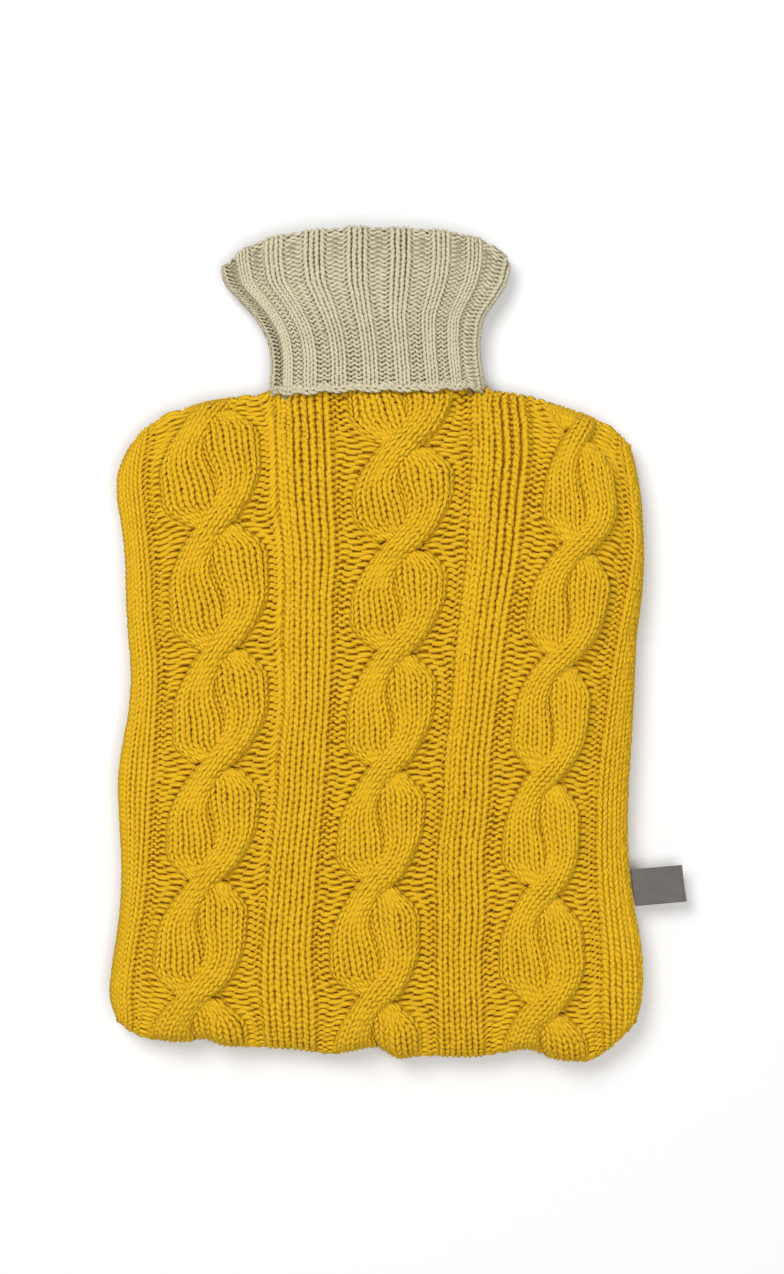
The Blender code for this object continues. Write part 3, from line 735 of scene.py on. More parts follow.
@dataclass
class Knitter:
    """Lays yarn into patches of cloth and collects the courses of a piece."""

    yarn: Yarn
    seed: int
    lane_margin: float = 0.04
    end_margin: float = 0.01
    courses: list[Courses] = field(default_factory=list)

    def knit(self, patch: Patch, rows: Array) -> None:
        """Lay some rows of a patch.

        Args:
            patch: the cloth.
            rows: the numbers of the rows that are laid.
        """
        if not len(rows):
            return
        yarn = self.yarn
        rng = np.random.default_rng(self.seed + patch.first_wale)
        count = len(patch.stitches)
        wales, turns, sides, reach, bow = yarn.steps(patch.stitches)
        shape = (len(rows), count)
        swing = np.sin(turns / 2) ** 2

        def uneven(size: float) -> Array:
            """A small random amount for each stitch, and none where it joins the next."""
            return rng.normal(0, size, shape)[:, wales] * swing

        wale = wales + (turns + bow * np.sin(2 * turns)) / (2 * np.pi) + uneven(yarn.wale_drift)
        row = rows[:, None] + 0.5 - reach * np.cos(turns) + uneven(yarn.row_drift)
        proud = -sides * np.cos(2 * turns)
        lean = yarn.lean * np.maximum(sides, 0.0) * np.cos(turns)
        lift = yarn.depth * proud + lean + uneven(yarn.unevenness * 2 * yarn.radius)
        places, normals = patch.read(wale, row)
        places = places + normals * lift[..., None]
        spread = np.clip(patch.wale_width(wale, row) / yarn.pitch, 1.0, yarn.most_spread)
        radius = yarn.radius * spread * (1 + uneven(yarn.unevenness))
        radius = radius * (1 + yarn.swell * proud - yarn.purl_slim * np.maximum(-sides, 0.0))
        along = np.gradient(places, axis=1)
        across = unit(np.cross(along, normals))
        above = unit(np.cross(across, along))
        angles = np.pi / 2 + 2 * np.pi * np.arange(yarn.sides) / yarn.sides
        wide = across[:, :, None, :] * np.cos(angles)[:, None]
        thick = above[:, :, None, :] * np.sin(angles)[:, None] * yarn.flatness
        rings = places[:, :, None, :] + (wide + thick) * radius[:, :, None, None]
        # stand and sunk: the height of each point of the tube in the cloth; the finish paints shade
        # where it is sunk
        stand = lift[:, :, None] + radius[:, :, None] * yarn.flatness * np.sin(angles)
        sunk = 0.5 - stand / (2 * yarn.half_thickness)
        tone = np.repeat(rng.normal(0, 1, (len(rows), 1)), len(wales), axis=1) * 0.5
        tone += rng.normal(0, 1, shape)[:, wales] * 0.5
        span = (patch.first_wale + wales + turns / (2 * np.pi)).astype(float)
        lanes = rows.astype(float)
        self.courses.append(Courses(rings, run_length(places), tone, sunk, lanes, span))

    def finish(self, name: str, material: Material, body: str, slot: str) -> Object:
        """Join the collected courses into one piece.

        Args:
            name: the piece's name.
            material: its finish.
            body: the body that it rides on.
            slot: the material slot of the record; not used.

        Returns:
            The piece, with the map Strand along and round the yarn and the map OFBake.
        """
        sides = self.yarn.sides
        first_lane = min(block.lanes.min() for block in self.courses)
        lanes = max(block.lanes.max() for block in self.courses) - first_lane + 1
        first_wale = min(block.span.min() for block in self.courses)
        wide = max(block.span.max() for block in self.courses) - first_wale
        points, corners, totals, strand, bake, tone, sunk = [], [], [], [], [], [], []
        start = 0
        ring = np.arange(sides)
        for block in self.courses:
            runs, count = block.along.shape
            index = start + np.arange(runs * count * sides).reshape(runs, count, sides)
            start += index.size
            nearer, farther = index[:, :-1], index[:, 1:]
            beside = np.roll(farther, -1, axis=2), np.roll(nearer, -1, axis=2)
            quads = np.stack([nearer, farther, *beside], axis=-1)
            corners += [quads.reshape(-1), index[:, 0].reshape(-1), index[:, -1, ::-1].reshape(-1)]
            totals += [np.full(quads.size // 4, 4), np.full(2 * runs, sides)]
            around = np.stack([ring, ring, ring + 1, ring + 1], axis=-1) / sides
            around = np.broadcast_to(around, quads.shape)

            def corner_values(values: Array) -> Array:
                """Bring the rings' values to the corners of the faces between them.

                Args:
                    values: one for each ring.

                Returns:
                    One for each corner.
                """
                ends = values[:, :-1, None], values[:, 1:, None]
                near, far = (np.broadcast_to(end, quads.shape[:3]) for end in ends)
                return np.stack([near, far, far, near], axis=-1)

            lane = np.broadcast_to((block.lanes - first_lane)[:, None], block.along.shape)
            span = np.broadcast_to((block.span - first_wale) / wide, block.along.shape)
            length = corner_values(block.along) / CENTIMETRE
            place = corner_values(span)
            margin = self.lane_margin
            height = (corner_values(lane) + margin + (1 - 2 * margin) * around) / lanes
            strand.append(np.stack([length, around], axis=-1).reshape(-1, 2))
            bake.append(np.stack([place, height], axis=-1).reshape(-1, 2))
            for end in (0, -1):
                closed = np.zeros((runs, sides, 2))
                closed[..., 0] = span[:, end, None]
                spread = self.end_margin * (1 + 2 * ring / sides)
                closed[..., 1] = (lane[:, end, None] + spread) / lanes
                strand.append(closed.reshape(-1, 2))
                bake.append(closed.reshape(-1, 2))
            points.append(block.rings.reshape(-1, 3))
            tone.append(np.repeat(block.tone.reshape(-1), sides))
            sunk.append(block.sunk.reshape(-1))
        piece = mesh_from_arrays(
            name,
            np.concatenate(points),
            np.concatenate(corners),
            np.concatenate(totals),
            {"Strand": np.concatenate(strand), "OFBake": np.concatenate(bake)},
            {"tone": np.concatenate(tone), "sunk": np.concatenate(sunk)},
        )
        return dress(piece, material, body)


def add_object(name: str, data: bpy.types.ID) -> Object:
    """Make an object of a mesh, a light or a camera, and put it in the scene.

    Args:
        name: the object's name.
        data: what it holds.

    Returns:
        The object.
    """
    made = bpy.data.objects.new(name, data)
    bpy.context.scene.collection.objects.link(made)
    return made


def mesh_from_arrays(
    name: str, points: Array, corners: Array, totals: Array, maps: dict[str, Array],
    values: dict[str, Array],
) -> Object:
    """Make an object from arrays.

    Args:
        name: the object's name.
        points: its points, in millimetres.
        corners: the point at each corner of each face, face after face.
        totals: how many corners each face has.
        maps: places on its UV maps, by name, two numbers for each corner.
        values: numbers for each point, by name.

    Returns:
        The object, shaded smooth.
    """
    mesh = bpy.data.meshes.new(name)
    mesh.vertices.add(len(points))
    mesh.vertices.foreach_set("co", (points * MM).astype(np.float32).reshape(-1))
    mesh.loops.add(len(corners))
    mesh.loops.foreach_set("vertex_index", corners.astype(np.int32))
    mesh.polygons.add(len(totals))
    starts = np.concatenate([[0], np.cumsum(totals)[:-1]])
    mesh.polygons.foreach_set("loop_start", starts.astype(np.int32))
    mesh.polygons.foreach_set("use_smooth", np.ones(len(totals), bool))
    mesh.update(calc_edges=True)
    for label, places in maps.items():
        layer = mesh.uv_layers.new(name=label, do_init=False)
        layer.data.foreach_set("uv", places.astype(np.float32).reshape(-1))
    for label, numbers in values.items():
        attribute = mesh.attributes.new(label, "FLOAT", "POINT")
        attribute.data.foreach_set("value", numbers.astype(np.float32))
    return add_object(name, mesh)


def dress(piece: Object, material: Material, body: str) -> Object:
    """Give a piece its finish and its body.

    Args:
        piece: the piece.
        material: its finish.
        body: the body that it rides on.

    Returns:
        The same piece.
    """
    piece.data.materials.append(material)
    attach(piece, body)
    return piece


def report(pieces: list[Object]) -> None:
    """Log the name and the triangles of some pieces.

    Args:
        pieces: the pieces, once they are finished.
    """
    for piece in pieces:
        triangles = sum(len(face.vertices) - 2 for face in piece.data.polygons)
        LOG.info("%s: %d triangles", piece.name, triangles)


def knit_bands(
    name: str, yarn: Yarn, patches: list[tuple[Patch, Array]], rows: int, bands: int, seed: int,
    material: Material, slot: str,
) -> list[Object]:
    """Knit patches into a few pieces, one above the other.

    Args:
        name: the start of the pieces' names.
        yarn: the yarn.
        patches: each patch, with the rows that are laid in it.
        rows: how many rows the whole has.
        bands: how many pieces it is divided into.
        seed: where the random draws of the first piece start.
        material: the finish.
        slot: the material slot of the record.

    Returns:
        The pieces, lowest first.
    """
    limits = np.linspace(0, rows, bands + 1).round()
    pieces = []
    for number, (low, high) in enumerate(zip(limits, limits[1:])):
        knitter = Knitter(yarn, seed=seed + SEED_STEP * number)
        for patch, laid in patches:
            knitter.knit(patch, laid[(laid >= low) & (laid < high)])
        pieces.append(knitter.finish(f"{name}_{number + 1}", material, "root", slot))
    return pieces


def base_cloth(name: str, outer: Array, inner: Array, closed: bool = False) -> Object:
    """A sheet of base cloth, bent from a level grid onto a net of points.

    Args:
        name: the object's name.
        outer: rows by columns by three, in millimetres, on one face of the sheet.
        inner: the same points on its other face.
        closed: whether the last column meets the first one.

    Returns:
        The object.
    """
    rows, columns = outer.shape[:2]
    bm = bmesh.new()
    bmesh.ops.create_grid(bm, x_segments=columns - 1, y_segments=rows - 1, size=1.0)
    number = bm.verts.layers.int.new("number")
    digits = 5  # enough to tell the grid's points apart
    order = sorted(bm.verts, key=lambda vert: (round(vert.co.y, digits), round(vert.co.x, digits)))
    for index, (vert, place) in enumerate(zip(order, outer.reshape(-1, 3))):
        vert[number] = index
        vert.co = place * MM
    if closed:
        bmesh.ops.remove_doubles(bm, verts=bm.verts, dist=MM * MM)
    sheet = bm.verts[:] + bm.edges[:] + bm.faces[:]
    made = bmesh.ops.extrude_face_region(bm, geom=sheet, use_keep_orig=True)
    under = inner.reshape(-1, 3)
    for part in made["geom"]:
        if isinstance(part, bmesh.types.BMVert):
            part.co = under[part[number]] * MM
    bmesh.ops.recalc_face_normals(bm, faces=bm.faces)
    mesh = bpy.data.meshes.new(name)
    bm.to_mesh(mesh)
    bm.free()
    mesh.shade_smooth()
    return add_object(name, mesh)


# ---- finishes ----

class Nodes:
    """Places nodes in a tree and joins them."""

    def __init__(self, tree: Tree) -> None:
        """Work on a node tree."""
        self.tree = tree

    def add(self, kind: str, values: dict | None = None, **settings: object) -> bpy.types.Node:
        """Add a node.

        Args:
            kind: the node's type.
            values: what its inputs are fed with.
            settings: the node's own settings.

        Returns:
            The node.
        """
        node = self.tree.nodes.new(kind)
        for name, value in settings.items():
            setattr(node, name, value)
        self.feed(node.inputs, values or {})
        return node

    def feed(self, inputs: bpy.types.bpy_prop_collection, values: dict) -> None:
        """Set or join some inputs.

        Args:
            inputs: the inputs of a node.
            values: input values or the sockets that feed them, by the input's name or number.
        """
        for name, value in values.items():
            if isinstance(value, Socket):
                self.tree.links.new(value, inputs[name])
            else:
                inputs[name].default_value = value

    def math(self, operation: str, *values: Socket | float) -> Socket:
        """The result of a sum."""
        numbers = dict(enumerate(values))
        return self.add("ShaderNodeMath", numbers, operation=operation).outputs[0]

    def mix(self, share: Socket, first: Socket | tuple, second: Socket | tuple) -> Socket:
        """A mix of two colours."""
        values = {0: share, 6: first, 7: second}
        return self.add("ShaderNodeMix", values, data_type="RGBA").outputs[2]

    def noise(self, place: Socket, scale: Socket | float, **values: float) -> Socket:
        """Soft noise; the values are set by the names of its inputs."""
        given = {"Vector": place, "Scale": scale, **values}
        return self.add("ShaderNodeTexNoise", given).outputs["Fac"]


def new_group(
    name: str, inputs: dict, output: str, kind: str = "NodeSocketFloat"
) -> tuple[Tree, Nodes, dict, Socket]:
    """Start a node group with named sockets.

    Args:
        name: the group's name.
        inputs: each input's starting value by name, a number or a colour.
        output: the output's name.
        kind: the output's socket type.

    Returns:
        The group, its nodes, its input sockets by name and the socket that takes its result.
    """
    group = bpy.data.node_groups.new(name, "ShaderNodeTree")
    for label, value in inputs.items():
        given = "NodeSocketColor" if isinstance(value, tuple) else "NodeSocketFloat"
        socket = group.interface.new_socket(name=label, in_out="INPUT", socket_type=given)
        socket.default_value = value
    group.interface.new_socket(name=output, in_out="OUTPUT", socket_type=kind)
    nodes = Nodes(group)
    entry = nodes.add("NodeGroupInput").outputs
    leave = nodes.add("NodeGroupOutput").inputs[output]
    return group, nodes, {label: entry[label] for label in inputs}, leave


def ply_twist_group() -> Tree:
    """The plies of a yarn: a height that winds round it, with fine fibres along the twist.

    Returns:
        The group.
    """
    group, nodes, given, out = new_group(
        "ply_twist",
        {"Along": 0.0, "Around": 0.0, "Plies": 2.0, "Turns": 1.5, "Fibre": 0.3},
        "Height",
    )
    wound = nodes.math("MULTIPLY", given["Along"], given["Turns"])
    around = nodes.math("MULTIPLY", given["Around"], given["Plies"])
    phase = nodes.math("MULTIPLY", nodes.math("ADD", wound, around), 2 * math.pi)
    ridge = nodes.math("ABSOLUTE", nodes.math("COSINE", nodes.math("MULTIPLY", phase, 0.5)))
    stretch = 3.0  # how much shorter the fibres are than the plies
    place = nodes.add(
        "ShaderNodeCombineXYZ", {0: nodes.math("MULTIPLY", given["Along"], stretch), 1: phase}
    ).outputs[0]
    hairs = nodes.noise(place, 2.2, Detail=3.0, Roughness=0.65)
    height = nodes.math("ADD", ridge, nodes.math("MULTIPLY", hairs, given["Fibre"]))
    nodes.tree.links.new(height, out)
    return group


def yarn_colour_group() -> Tree:
    """A yarn's colour: uneven at random, with painted shade where it is sunk in the cloth and in
    the grooves between its plies.

    Returns:
        The group.
    """
    group, nodes, given, out = new_group(
        "yarn_colour",
        {
            "Bright": (1, 1, 1, 1), "Deep": (0.5, 0.5, 0.5, 1), "Sunk": 0.0, "Tone": 0.0,
            "Height": 0.0, "Patches": 30.0, "Unevenness": 0.1,
        },
        "Color",
        "NodeSocketColor",
    )
    place = nodes.add("ShaderNodeTexCoord").outputs["Object"]
    cloud = nodes.noise(place, given["Patches"], Detail=2.0)
    hairs = nodes.noise(place, 1400.0, Detail=2.0, Roughness=0.7)
    cloud_share, tone_share, hair_share, ply_share = 1.2, 0.35, 1.6, 0.18
    face, foot = 0.02, 0.8  # how sunk the yarn is where it is bright and where it is deep
    shade = nodes.math("MULTIPLY", nodes.math("SUBTRACT", cloud, 0.5), cloud_share)
    shade = nodes.math("ADD", shade, nodes.math("MULTIPLY", given["Tone"], tone_share))
    fuzz = nodes.math("MULTIPLY", nodes.math("SUBTRACT", hairs, 0.5), hair_share)
    shade = nodes.math("MULTIPLY", nodes.math("ADD", shade, fuzz), given["Unevenness"])
    # painted shade: the colour darkens where the yarn is sunk in the cloth, at the tube's sides and
    # in the loops' hidden parts
    sunk = nodes.add(
        "ShaderNodeMapRange", {0: given["Sunk"], 1: face, 2: foot}, interpolation_type="SMOOTHSTEP"
    ).outputs[0]
    # painted shade in the grooves between the plies, where the twist's height is low
    ply_groove_shade = nodes.math("MULTIPLY", nodes.math("SUBTRACT", 1.0, given["Height"]), ply_share)
    share = nodes.math("ADD", nodes.math("ADD", sunk, ply_groove_shade), shade)
    share = nodes.math("MINIMUM", nodes.math("MAXIMUM", share, 0.0), 1.0)
    nodes.tree.links.new(nodes.mix(share, given["Bright"], given["Deep"]), out)
    return group


def cloth_bump_group() -> Tree:
    """Small knit bumps on a plain sheet, from a wave across and one along.

    Returns:
        The group.
    """
    group, nodes, given, out = new_group(
        "cloth_bumps",
        {"Wale": 4.7, "Row": 2.6},
        "Height",
    )
    place = nodes.add("ShaderNodeTexCoord").outputs["Object"]
    split = nodes.add("ShaderNodeSeparateXYZ", {0: place}).outputs
    whole_turn = 2 * math.pi / MM  # Object coordinates are in metres
    swing = 1.4
    across = nodes.math("DIVIDE", nodes.math("MULTIPLY", split[0], whole_turn), given["Wale"])
    along = nodes.math("DIVIDE", nodes.math("MULTIPLY", split[1], whole_turn), given["Row"])
    bend = nodes.math("ADD", along, nodes.math("MULTIPLY", nodes.math("COSINE", across), swing))
    nodes.tree.links.new(nodes.math("SINE", bend), out)
    return group


@dataclass(frozen=True)
class Groups:
    """The effects that more than one finish uses."""

    ply: Tree
    colour: Tree
    bumps: Tree

    @classmethod
    def build(cls) -> "Groups":
        """Build each group once."""
        return cls(ply_twist_group(), yarn_colour_group(), cloth_bump_group())


def start_material(name: str) -> tuple[Material, Nodes, bpy.types.Node]:
    """Start a material.

    Args:
        name: the material's name.

    Returns:
        The material, its nodes and its shader.
    """
    material = bpy.data.materials.new(name)
    material.use_nodes = True
    return material, Nodes(material.node_tree), material.node_tree.nodes["Principled BSDF"]


@dataclass(frozen=True)
class YarnFinish:
    """A spun and plied yarn.

    Fields:
        bright: colour of the yarn's face, linear.
        deep: colour between the loops, linear: painted shade where the yarn is sunk, and the darker
            end of its uneven tone.
        plies: how many plies are twisted together.
        turns: turns of the twist in a centimetre.
        bump: how deep the twist is, in metres.
        patches: how many patches of uneven colour there are in a metre.
        unevenness: how strongly the colour changes.
        sheen: how strongly its fine fibres catch the light.
    """

    name: str
    bright: Colour
    deep: Colour
    plies: float
    turns: float
    bump: float
    patches: float = 30.0
    unevenness: float = 0.12
    roughness: float = 0.85
    specular: float = 0.15
    sheen: float = 0.12
    sheen_roughness: float = 0.45

    def build(self, groups: Groups) -> Material:
        """Make the material.

        Args:
            groups: the shared effects.

        Returns:
            The material, which reads the map Strand and the values tone and sunk.
        """
        material, nodes, shader = start_material(self.name)
        strand = nodes.add("ShaderNodeUVMap", uv_map="Strand").outputs[0]
        split = nodes.add("ShaderNodeSeparateXYZ", {0: strand}).outputs
        twist = {"Along": split[0], "Around": split[1], "Plies": self.plies, "Turns": self.turns}
        height = nodes.add("ShaderNodeGroup", twist, node_tree=groups.ply).outputs[0]
        # Sunk and Height paint shade into the colour: darker deeper in the cloth and in the ply
        # grooves
        dye = {
            "Tone": nodes.add("ShaderNodeAttribute", attribute_name="tone").outputs["Fac"],
            "Sunk": nodes.add("ShaderNodeAttribute", attribute_name="sunk").outputs["Fac"],
            "Height": height,
            "Bright": (*self.bright, 1),
            "Deep": (*self.deep, 1),
            "Patches": self.patches,
            "Unevenness": self.unevenness,
        }
        colour = nodes.add("ShaderNodeGroup", dye, node_tree=groups.colour).outputs[0]
        relief = {"Height": height, "Strength": 1.0, "Distance": self.bump}
        surface = {
            "Base Color": colour,
            "Normal": nodes.add("ShaderNodeBump", relief).outputs[0],
            "Roughness": self.roughness,
            "Specular IOR Level": self.specular,
            "Sheen Weight": self.sheen,
            "Sheen Roughness": self.sheen_roughness,
            "Sheen Tint": (*self.bright, 1),
        }
        nodes.feed(shader.inputs, surface)
        return material


@dataclass(frozen=True)
class BaseFinish:
    """The base cloth under a layer of yarn, with the bumps of the knitting's inner side; its darker
    colour is painted shade for the gaps between the loops.

    Fields:
        colour, shade: colour of the bumps, and painted shade between them, linear.
        wale, row: the size of a bump, in millimetres.
        bump: how deep it is, in metres.
    """

    name: str
    colour: Colour
    shade: Colour
    wale: float
    row: float
    strength: float = 0.6
    bump: float = 0.0006
    roughness: float = 0.95
    specular: float = 0.15

    def build(self, groups: Groups) -> Material:
        """Make the material.

        Args:
            groups: the shared effects.

        Returns:
            The material, which reads the piece's own coordinates.
        """
        material, nodes, shader = start_material(self.name)
        bumps = nodes.add(
            "ShaderNodeGroup", {"Wale": self.wale, "Row": self.row}, node_tree=groups.bumps
        ).outputs[0]
        share = nodes.add("ShaderNodeMapRange", {0: bumps, 1: -1.0, 2: 1.0}).outputs[0]
        relief = {"Height": bumps, "Strength": self.strength, "Distance": self.bump}
        # painted shade between the bumps, darker where the bump height is low
        surface = {
            "Base Color": nodes.mix(share, (*self.shade, 1), (*self.colour, 1)),
            "Normal": nodes.add("ShaderNodeBump", relief).outputs[0],
            "Roughness": self.roughness,
            "Specular IOR Level": self.specular,
        }
        nodes.feed(shader.inputs, surface)
        return material


@dataclass(frozen=True)
class TapeFinish:
    """A closely woven tape with a slight sheen.

    Fields:
        colour, pale: its darker and lighter colours, linear.
        threads: threads in a metre.
        clouds: patches of uneven colour in a metre.
        bump: how deep the weave is, in metres.
    """

    name: str = "woven_tape"
    colour: Colour = (0.105, 0.092, 0.085)
    pale: Colour = (0.155, 0.138, 0.128)
    threads: float = 2600.0
    weave_share: float = 0.25
    clouds: float = 260.0
    strength: float = 0.5
    bump: float = 0.00012
    roughness: float = 0.62
    sheen: float = 0.2

    def build(self) -> Material:
        """Make the material, with its warp along the label's map and its weft across.

        Returns:
            The material, which reads the map Tape.
        """
        material, nodes, shader = start_material(self.name)
        tape = nodes.add("ShaderNodeUVMap", uv_map="Tape").outputs[0]
        split = nodes.add("ShaderNodeSeparateXYZ", {0: tape}).outputs
        weft = nodes.math("SINE", nodes.math("MULTIPLY", split[0], self.threads * 2 * math.pi))
        warp = nodes.math("SINE", nodes.math("MULTIPLY", split[1], self.threads * math.pi))
        weave = nodes.math("MULTIPLY", weft, warp)
        place = nodes.add("ShaderNodeTexCoord").outputs["Object"]
        cloud = nodes.noise(place, self.clouds, Detail=4.0)
        share = nodes.math("ADD", nodes.math("MULTIPLY", weave, self.weave_share), cloud)
        relief = {"Height": weave, "Strength": self.strength, "Distance": self.bump}
        surface = {
            "Base Color": nodes.mix(share, (*self.colour, 1), (*self.pale, 1)),
            "Normal": nodes.add("ShaderNodeBump", relief).outputs[0],
            "Roughness": self.roughness,
            "Sheen Weight": self.sheen,
        }
        nodes.feed(shader.inputs, surface)
        return material


# ---- the front ----

@dataclass
class FrontPanel:
    """The front: side bands, three rope cables and two ribs, between purl gutters.

    Fields:
        slope_reach: from a gutter's middle to the edge of the rib beside it.
        gutter_tuck: how far the gutter's purl wales run in under a cable.
        strand_inset, strand_turn: how far the yarn lies inside a strand's edge, and how far
            round the strand it goes, in degrees.
        hidden_reach: how near to a crossing the lower strand isn't laid.
        first_rib, first_cable, repeat: wale numbers, for the random draws and the map.
        base_sink, base_crowding, base_slim: how deep the base cloth lies under the yarn, how
            much its columns crowd at the sides, and how much slimmer its cables are.
    """

    shape: BodyShape
    relief: CableRelief
    yarn: Yarn
    rows: int = 109
    wale_samples: int = 4
    band_wales: int = 4
    rib_wales: int = 4
    strand_wales: int = 5
    rib_wale: float = 4.6
    slope_reach: float = 3.9
    gutter_tuck: float = 1.9
    strand_inset: float = 1.85
    strand_turn: float = 105.0
    hidden_reach: float = 1.5
    first_rib: int = 16
    first_cable: int = 6
    repeat: int = 19
    band_samples: int = 33
    rib_samples: int = 41
    strand_samples: int = 41
    base_sink: float = 0.7
    base_thickness: float = 1.3
    base_rows: int = 84
    base_columns: int = 120
    base_crowding: float = 0.35
    base_slim: float = 0.12
    bands: int = 3
    seed: int = 0
    net: FaceNet = field(init=False)

    def __post_init__(self) -> None:
        """Lay the net that every stitch is placed on."""
        self.net = FaceNet(self.shape, Face.FRONT, self.rows)

    def cable_frame(self, row: int, cable: int) -> tuple[float, float, float, float, float]:
        """Where a cable lies in one row of the net.

        Args:
            row: the row of the net.
            cable: the cable's number.

        Returns:
            The left and right gutter, and the cable's middle, half width and height.
        """
        line = FIRST_GUTTER + 2 * cable
        ends, _ = self.net.read(row, np.array([line, line + 0.5, line + 1.0]))
        left, right = ends[0, 0], ends[2, 0]
        first, last = left + self.relief.gutter_half_width, right - self.relief.gutter_half_width
        return left, right, (first + last) / 2, (last - first) / 2, ends[1, 1]

    def cable_edge(self, row: int, cable: int, side: float) -> float:
        """The net line that the gutter's cloth reaches, under the edge of a cable.

        Args:
            row: the row of the net.
            cable: the cable's number.
            side: -1 for its left edge, 1 for its right one.

        Returns:
            The net line, which need not be a whole number.
        """
        left, right, middle, half, height = self.cable_frame(row, cable)
        edges = []
        for role in (1.0, -1.0):
            centre, half_width, _ = self.relief.strand(np.array([height]), cable, role)
            edges.append(centre[0] + side * half_width[0])
        edge = max(edges) if side > 0 else min(edges)
        across = middle + half * edge - side * self.gutter_tuck
        return FIRST_GUTTER + 2 * cable + (across - left) / (right - left)

    def band_marks(self, row: int, side: float) -> Array:
        """The net lines between the stitches of a side band and its gutter, from the seam inwards.

        Args:
            row: the row of the net.
            side: -1 for the left band, 1 for the right one.

        Returns:
            The net lines, seven of them.
        """
        line = FIRST_GUTTER if side < 0 else LAST_GUTTER
        seam = LEFT_SEAM if side < 0 else RIGHT_SEAM
        ends, _ = self.net.read(row, np.array([seam, line]))
        slope = self.slope_reach / abs(ends[1, 0] - ends[0, 0])
        inner = line + side * slope
        lines = np.linspace(seam, inner, self.band_samples)
        points, _ = self.net.read(row, lines)
        run = run_length(points[:, :3])
        power = max(1.0, self.band_wales * self.rib_wale / run[-1])
        shares = np.arange(self.band_wales + 1) / self.band_wales
        from_gutter = run[-1] * (1 - (1 - shares) ** power)
        knit = np.interp(run[-1] - from_gutter[::-1], run, lines)
        cable = 0 if side < 0 else 2
        edge = self.cable_edge(row, cable, side)
        return np.concatenate([knit, [(inner + edge) / 2, edge]])

    def rib_marks(self, row: int, rib: int) -> Array:
        """The net lines between the stitches of a rib and the two gutters beside it.

        Args:
            row: the row of the net.
            rib: 0 for the left rib, 1 for the right one.

        Returns:
            The net lines, from left to right.
        """
        line = FIRST_GUTTER + 1 + 2 * rib
        ends, _ = self.net.read(row, np.array([line, line + 1]))
        slope = self.slope_reach / (ends[1, 0] - ends[0, 0])
        lines = np.linspace(line + slope, line + 1 - slope, self.rib_samples)
        points, normals = self.net.read(row, lines)
        offset = np.minimum(points[:, 0] - ends[0, 0], ends[1, 0] - points[:, 0])
        raised = points[:, :3] + normals * self.relief.gutter(offset)[:, None]
        run = run_length(raised)
        knit = np.interp(np.linspace(0, run[-1], self.rib_wales + 1), run, lines)
        left, right = self.cable_edge(row, rib, 1.0), self.cable_edge(row, rib + 1, -1.0)
        return np.concatenate(
            [[left, (left + knit[0]) / 2], knit, [(right + knit[-1]) / 2, right]]
        )

    def flat_points(self, row: int, marks: Array) -> Array:
        """The middle of the yarn on a stretch of bands, ribs and gutters, in one row of the net.

        Args:
            row: the row of the net.
            marks: the net lines between the stitches.

        Returns:
            The points.
        """
        wales = len(marks) - 1
        at = np.arange(wales * self.wale_samples + 1) / self.wale_samples
        lines = np.interp(at, np.arange(wales + 1), marks)
        points, normals = self.net.read(row, lines)
        gutters, _ = self.net.read(row, np.arange(FIRST_GUTTER, LAST_GUTTER + 1))
        relief = self.relief.ground(points[:, 0], gutters[:, 0])
        relief = relief + self.relief.creases(points[:, :2])
        relief = relief * self.relief.fade(points) - self.yarn.half_thickness
        return points[:, :3] + normals * relief[:, None]

    def strand_points(self, row: int, cable: int, strand: int) -> tuple[Array, float, float]:
        """The middle of the yarn on one strand, in one row of the net.

        Args:
            row: the row of the net.
            cable: the cable's number.
            strand: 0 for the strand that is on top where the cable first crosses, else 1.

        Returns:
            The points, the side that the strand passes on, and its distance from the crossing.
        """
        left, right, middle, half, height = self.cable_frame(row, cable)
        at = np.array([height])
        number, crossing = self.relief.nearest(at, cable)
        side = 1.0 if (number[0] + strand) % 2 == 0 else -1.0
        centre, half_width, rise = self.relief.strand(at, cable, side)
        wide = half * half_width[0] - self.strand_inset
        turn = np.radians(self.strand_turn)
        angles = np.linspace(-turn, turn, self.strand_samples)
        section = np.column_stack([wide * np.sin(angles), rise[0] * np.cos(angles)])
        run = run_length(section)
        at_wales = np.linspace(0, run[-1], self.strand_wales * self.wale_samples + 1)
        section = read_lines(at_wales, run, section)
        across = middle + half * centre[0] + section[:, 0]
        lines = FIRST_GUTTER + 2 * cable + (across - left) / (right - left)
        points, normals = self.net.read(row, lines)
        relief = (section[:, 1] + self.relief.creases(points[:, :2])) * self.relief.fade(points)
        relief = relief - self.yarn.half_thickness
        return points[:, :3] + normals * relief[:, None], side, abs(height - crossing[0])

    def patches(self) -> list[tuple[Patch, Array]]:
        """Lay the cloth of the front.

        Returns:
            Each patch, with the rows that are laid in it.
        """
        samples = self.net.row_samples
        levels = range(self.rows * samples + 1)
        facts = {"wale_samples": self.wale_samples, "row_samples": samples}
        rows = np.arange(self.rows)
        made = []

        def flat(marks: Callable[[int], Array], stitches: tuple[Stitch, ...], first: int) -> None:
            """Add a patch of bands, ribs and gutters.

            Args:
                marks: finds the net lines between the stitches, in one row of the net.
                stitches: the stitches from left to right.
                first: the number of the first wale.
            """
            points = np.stack([self.flat_points(row, marks(row)) for row in levels])
            patch = Patch.from_points(points, 1.0, stitches=stitches, first_wale=first, **facts)
            made.append((patch, rows))

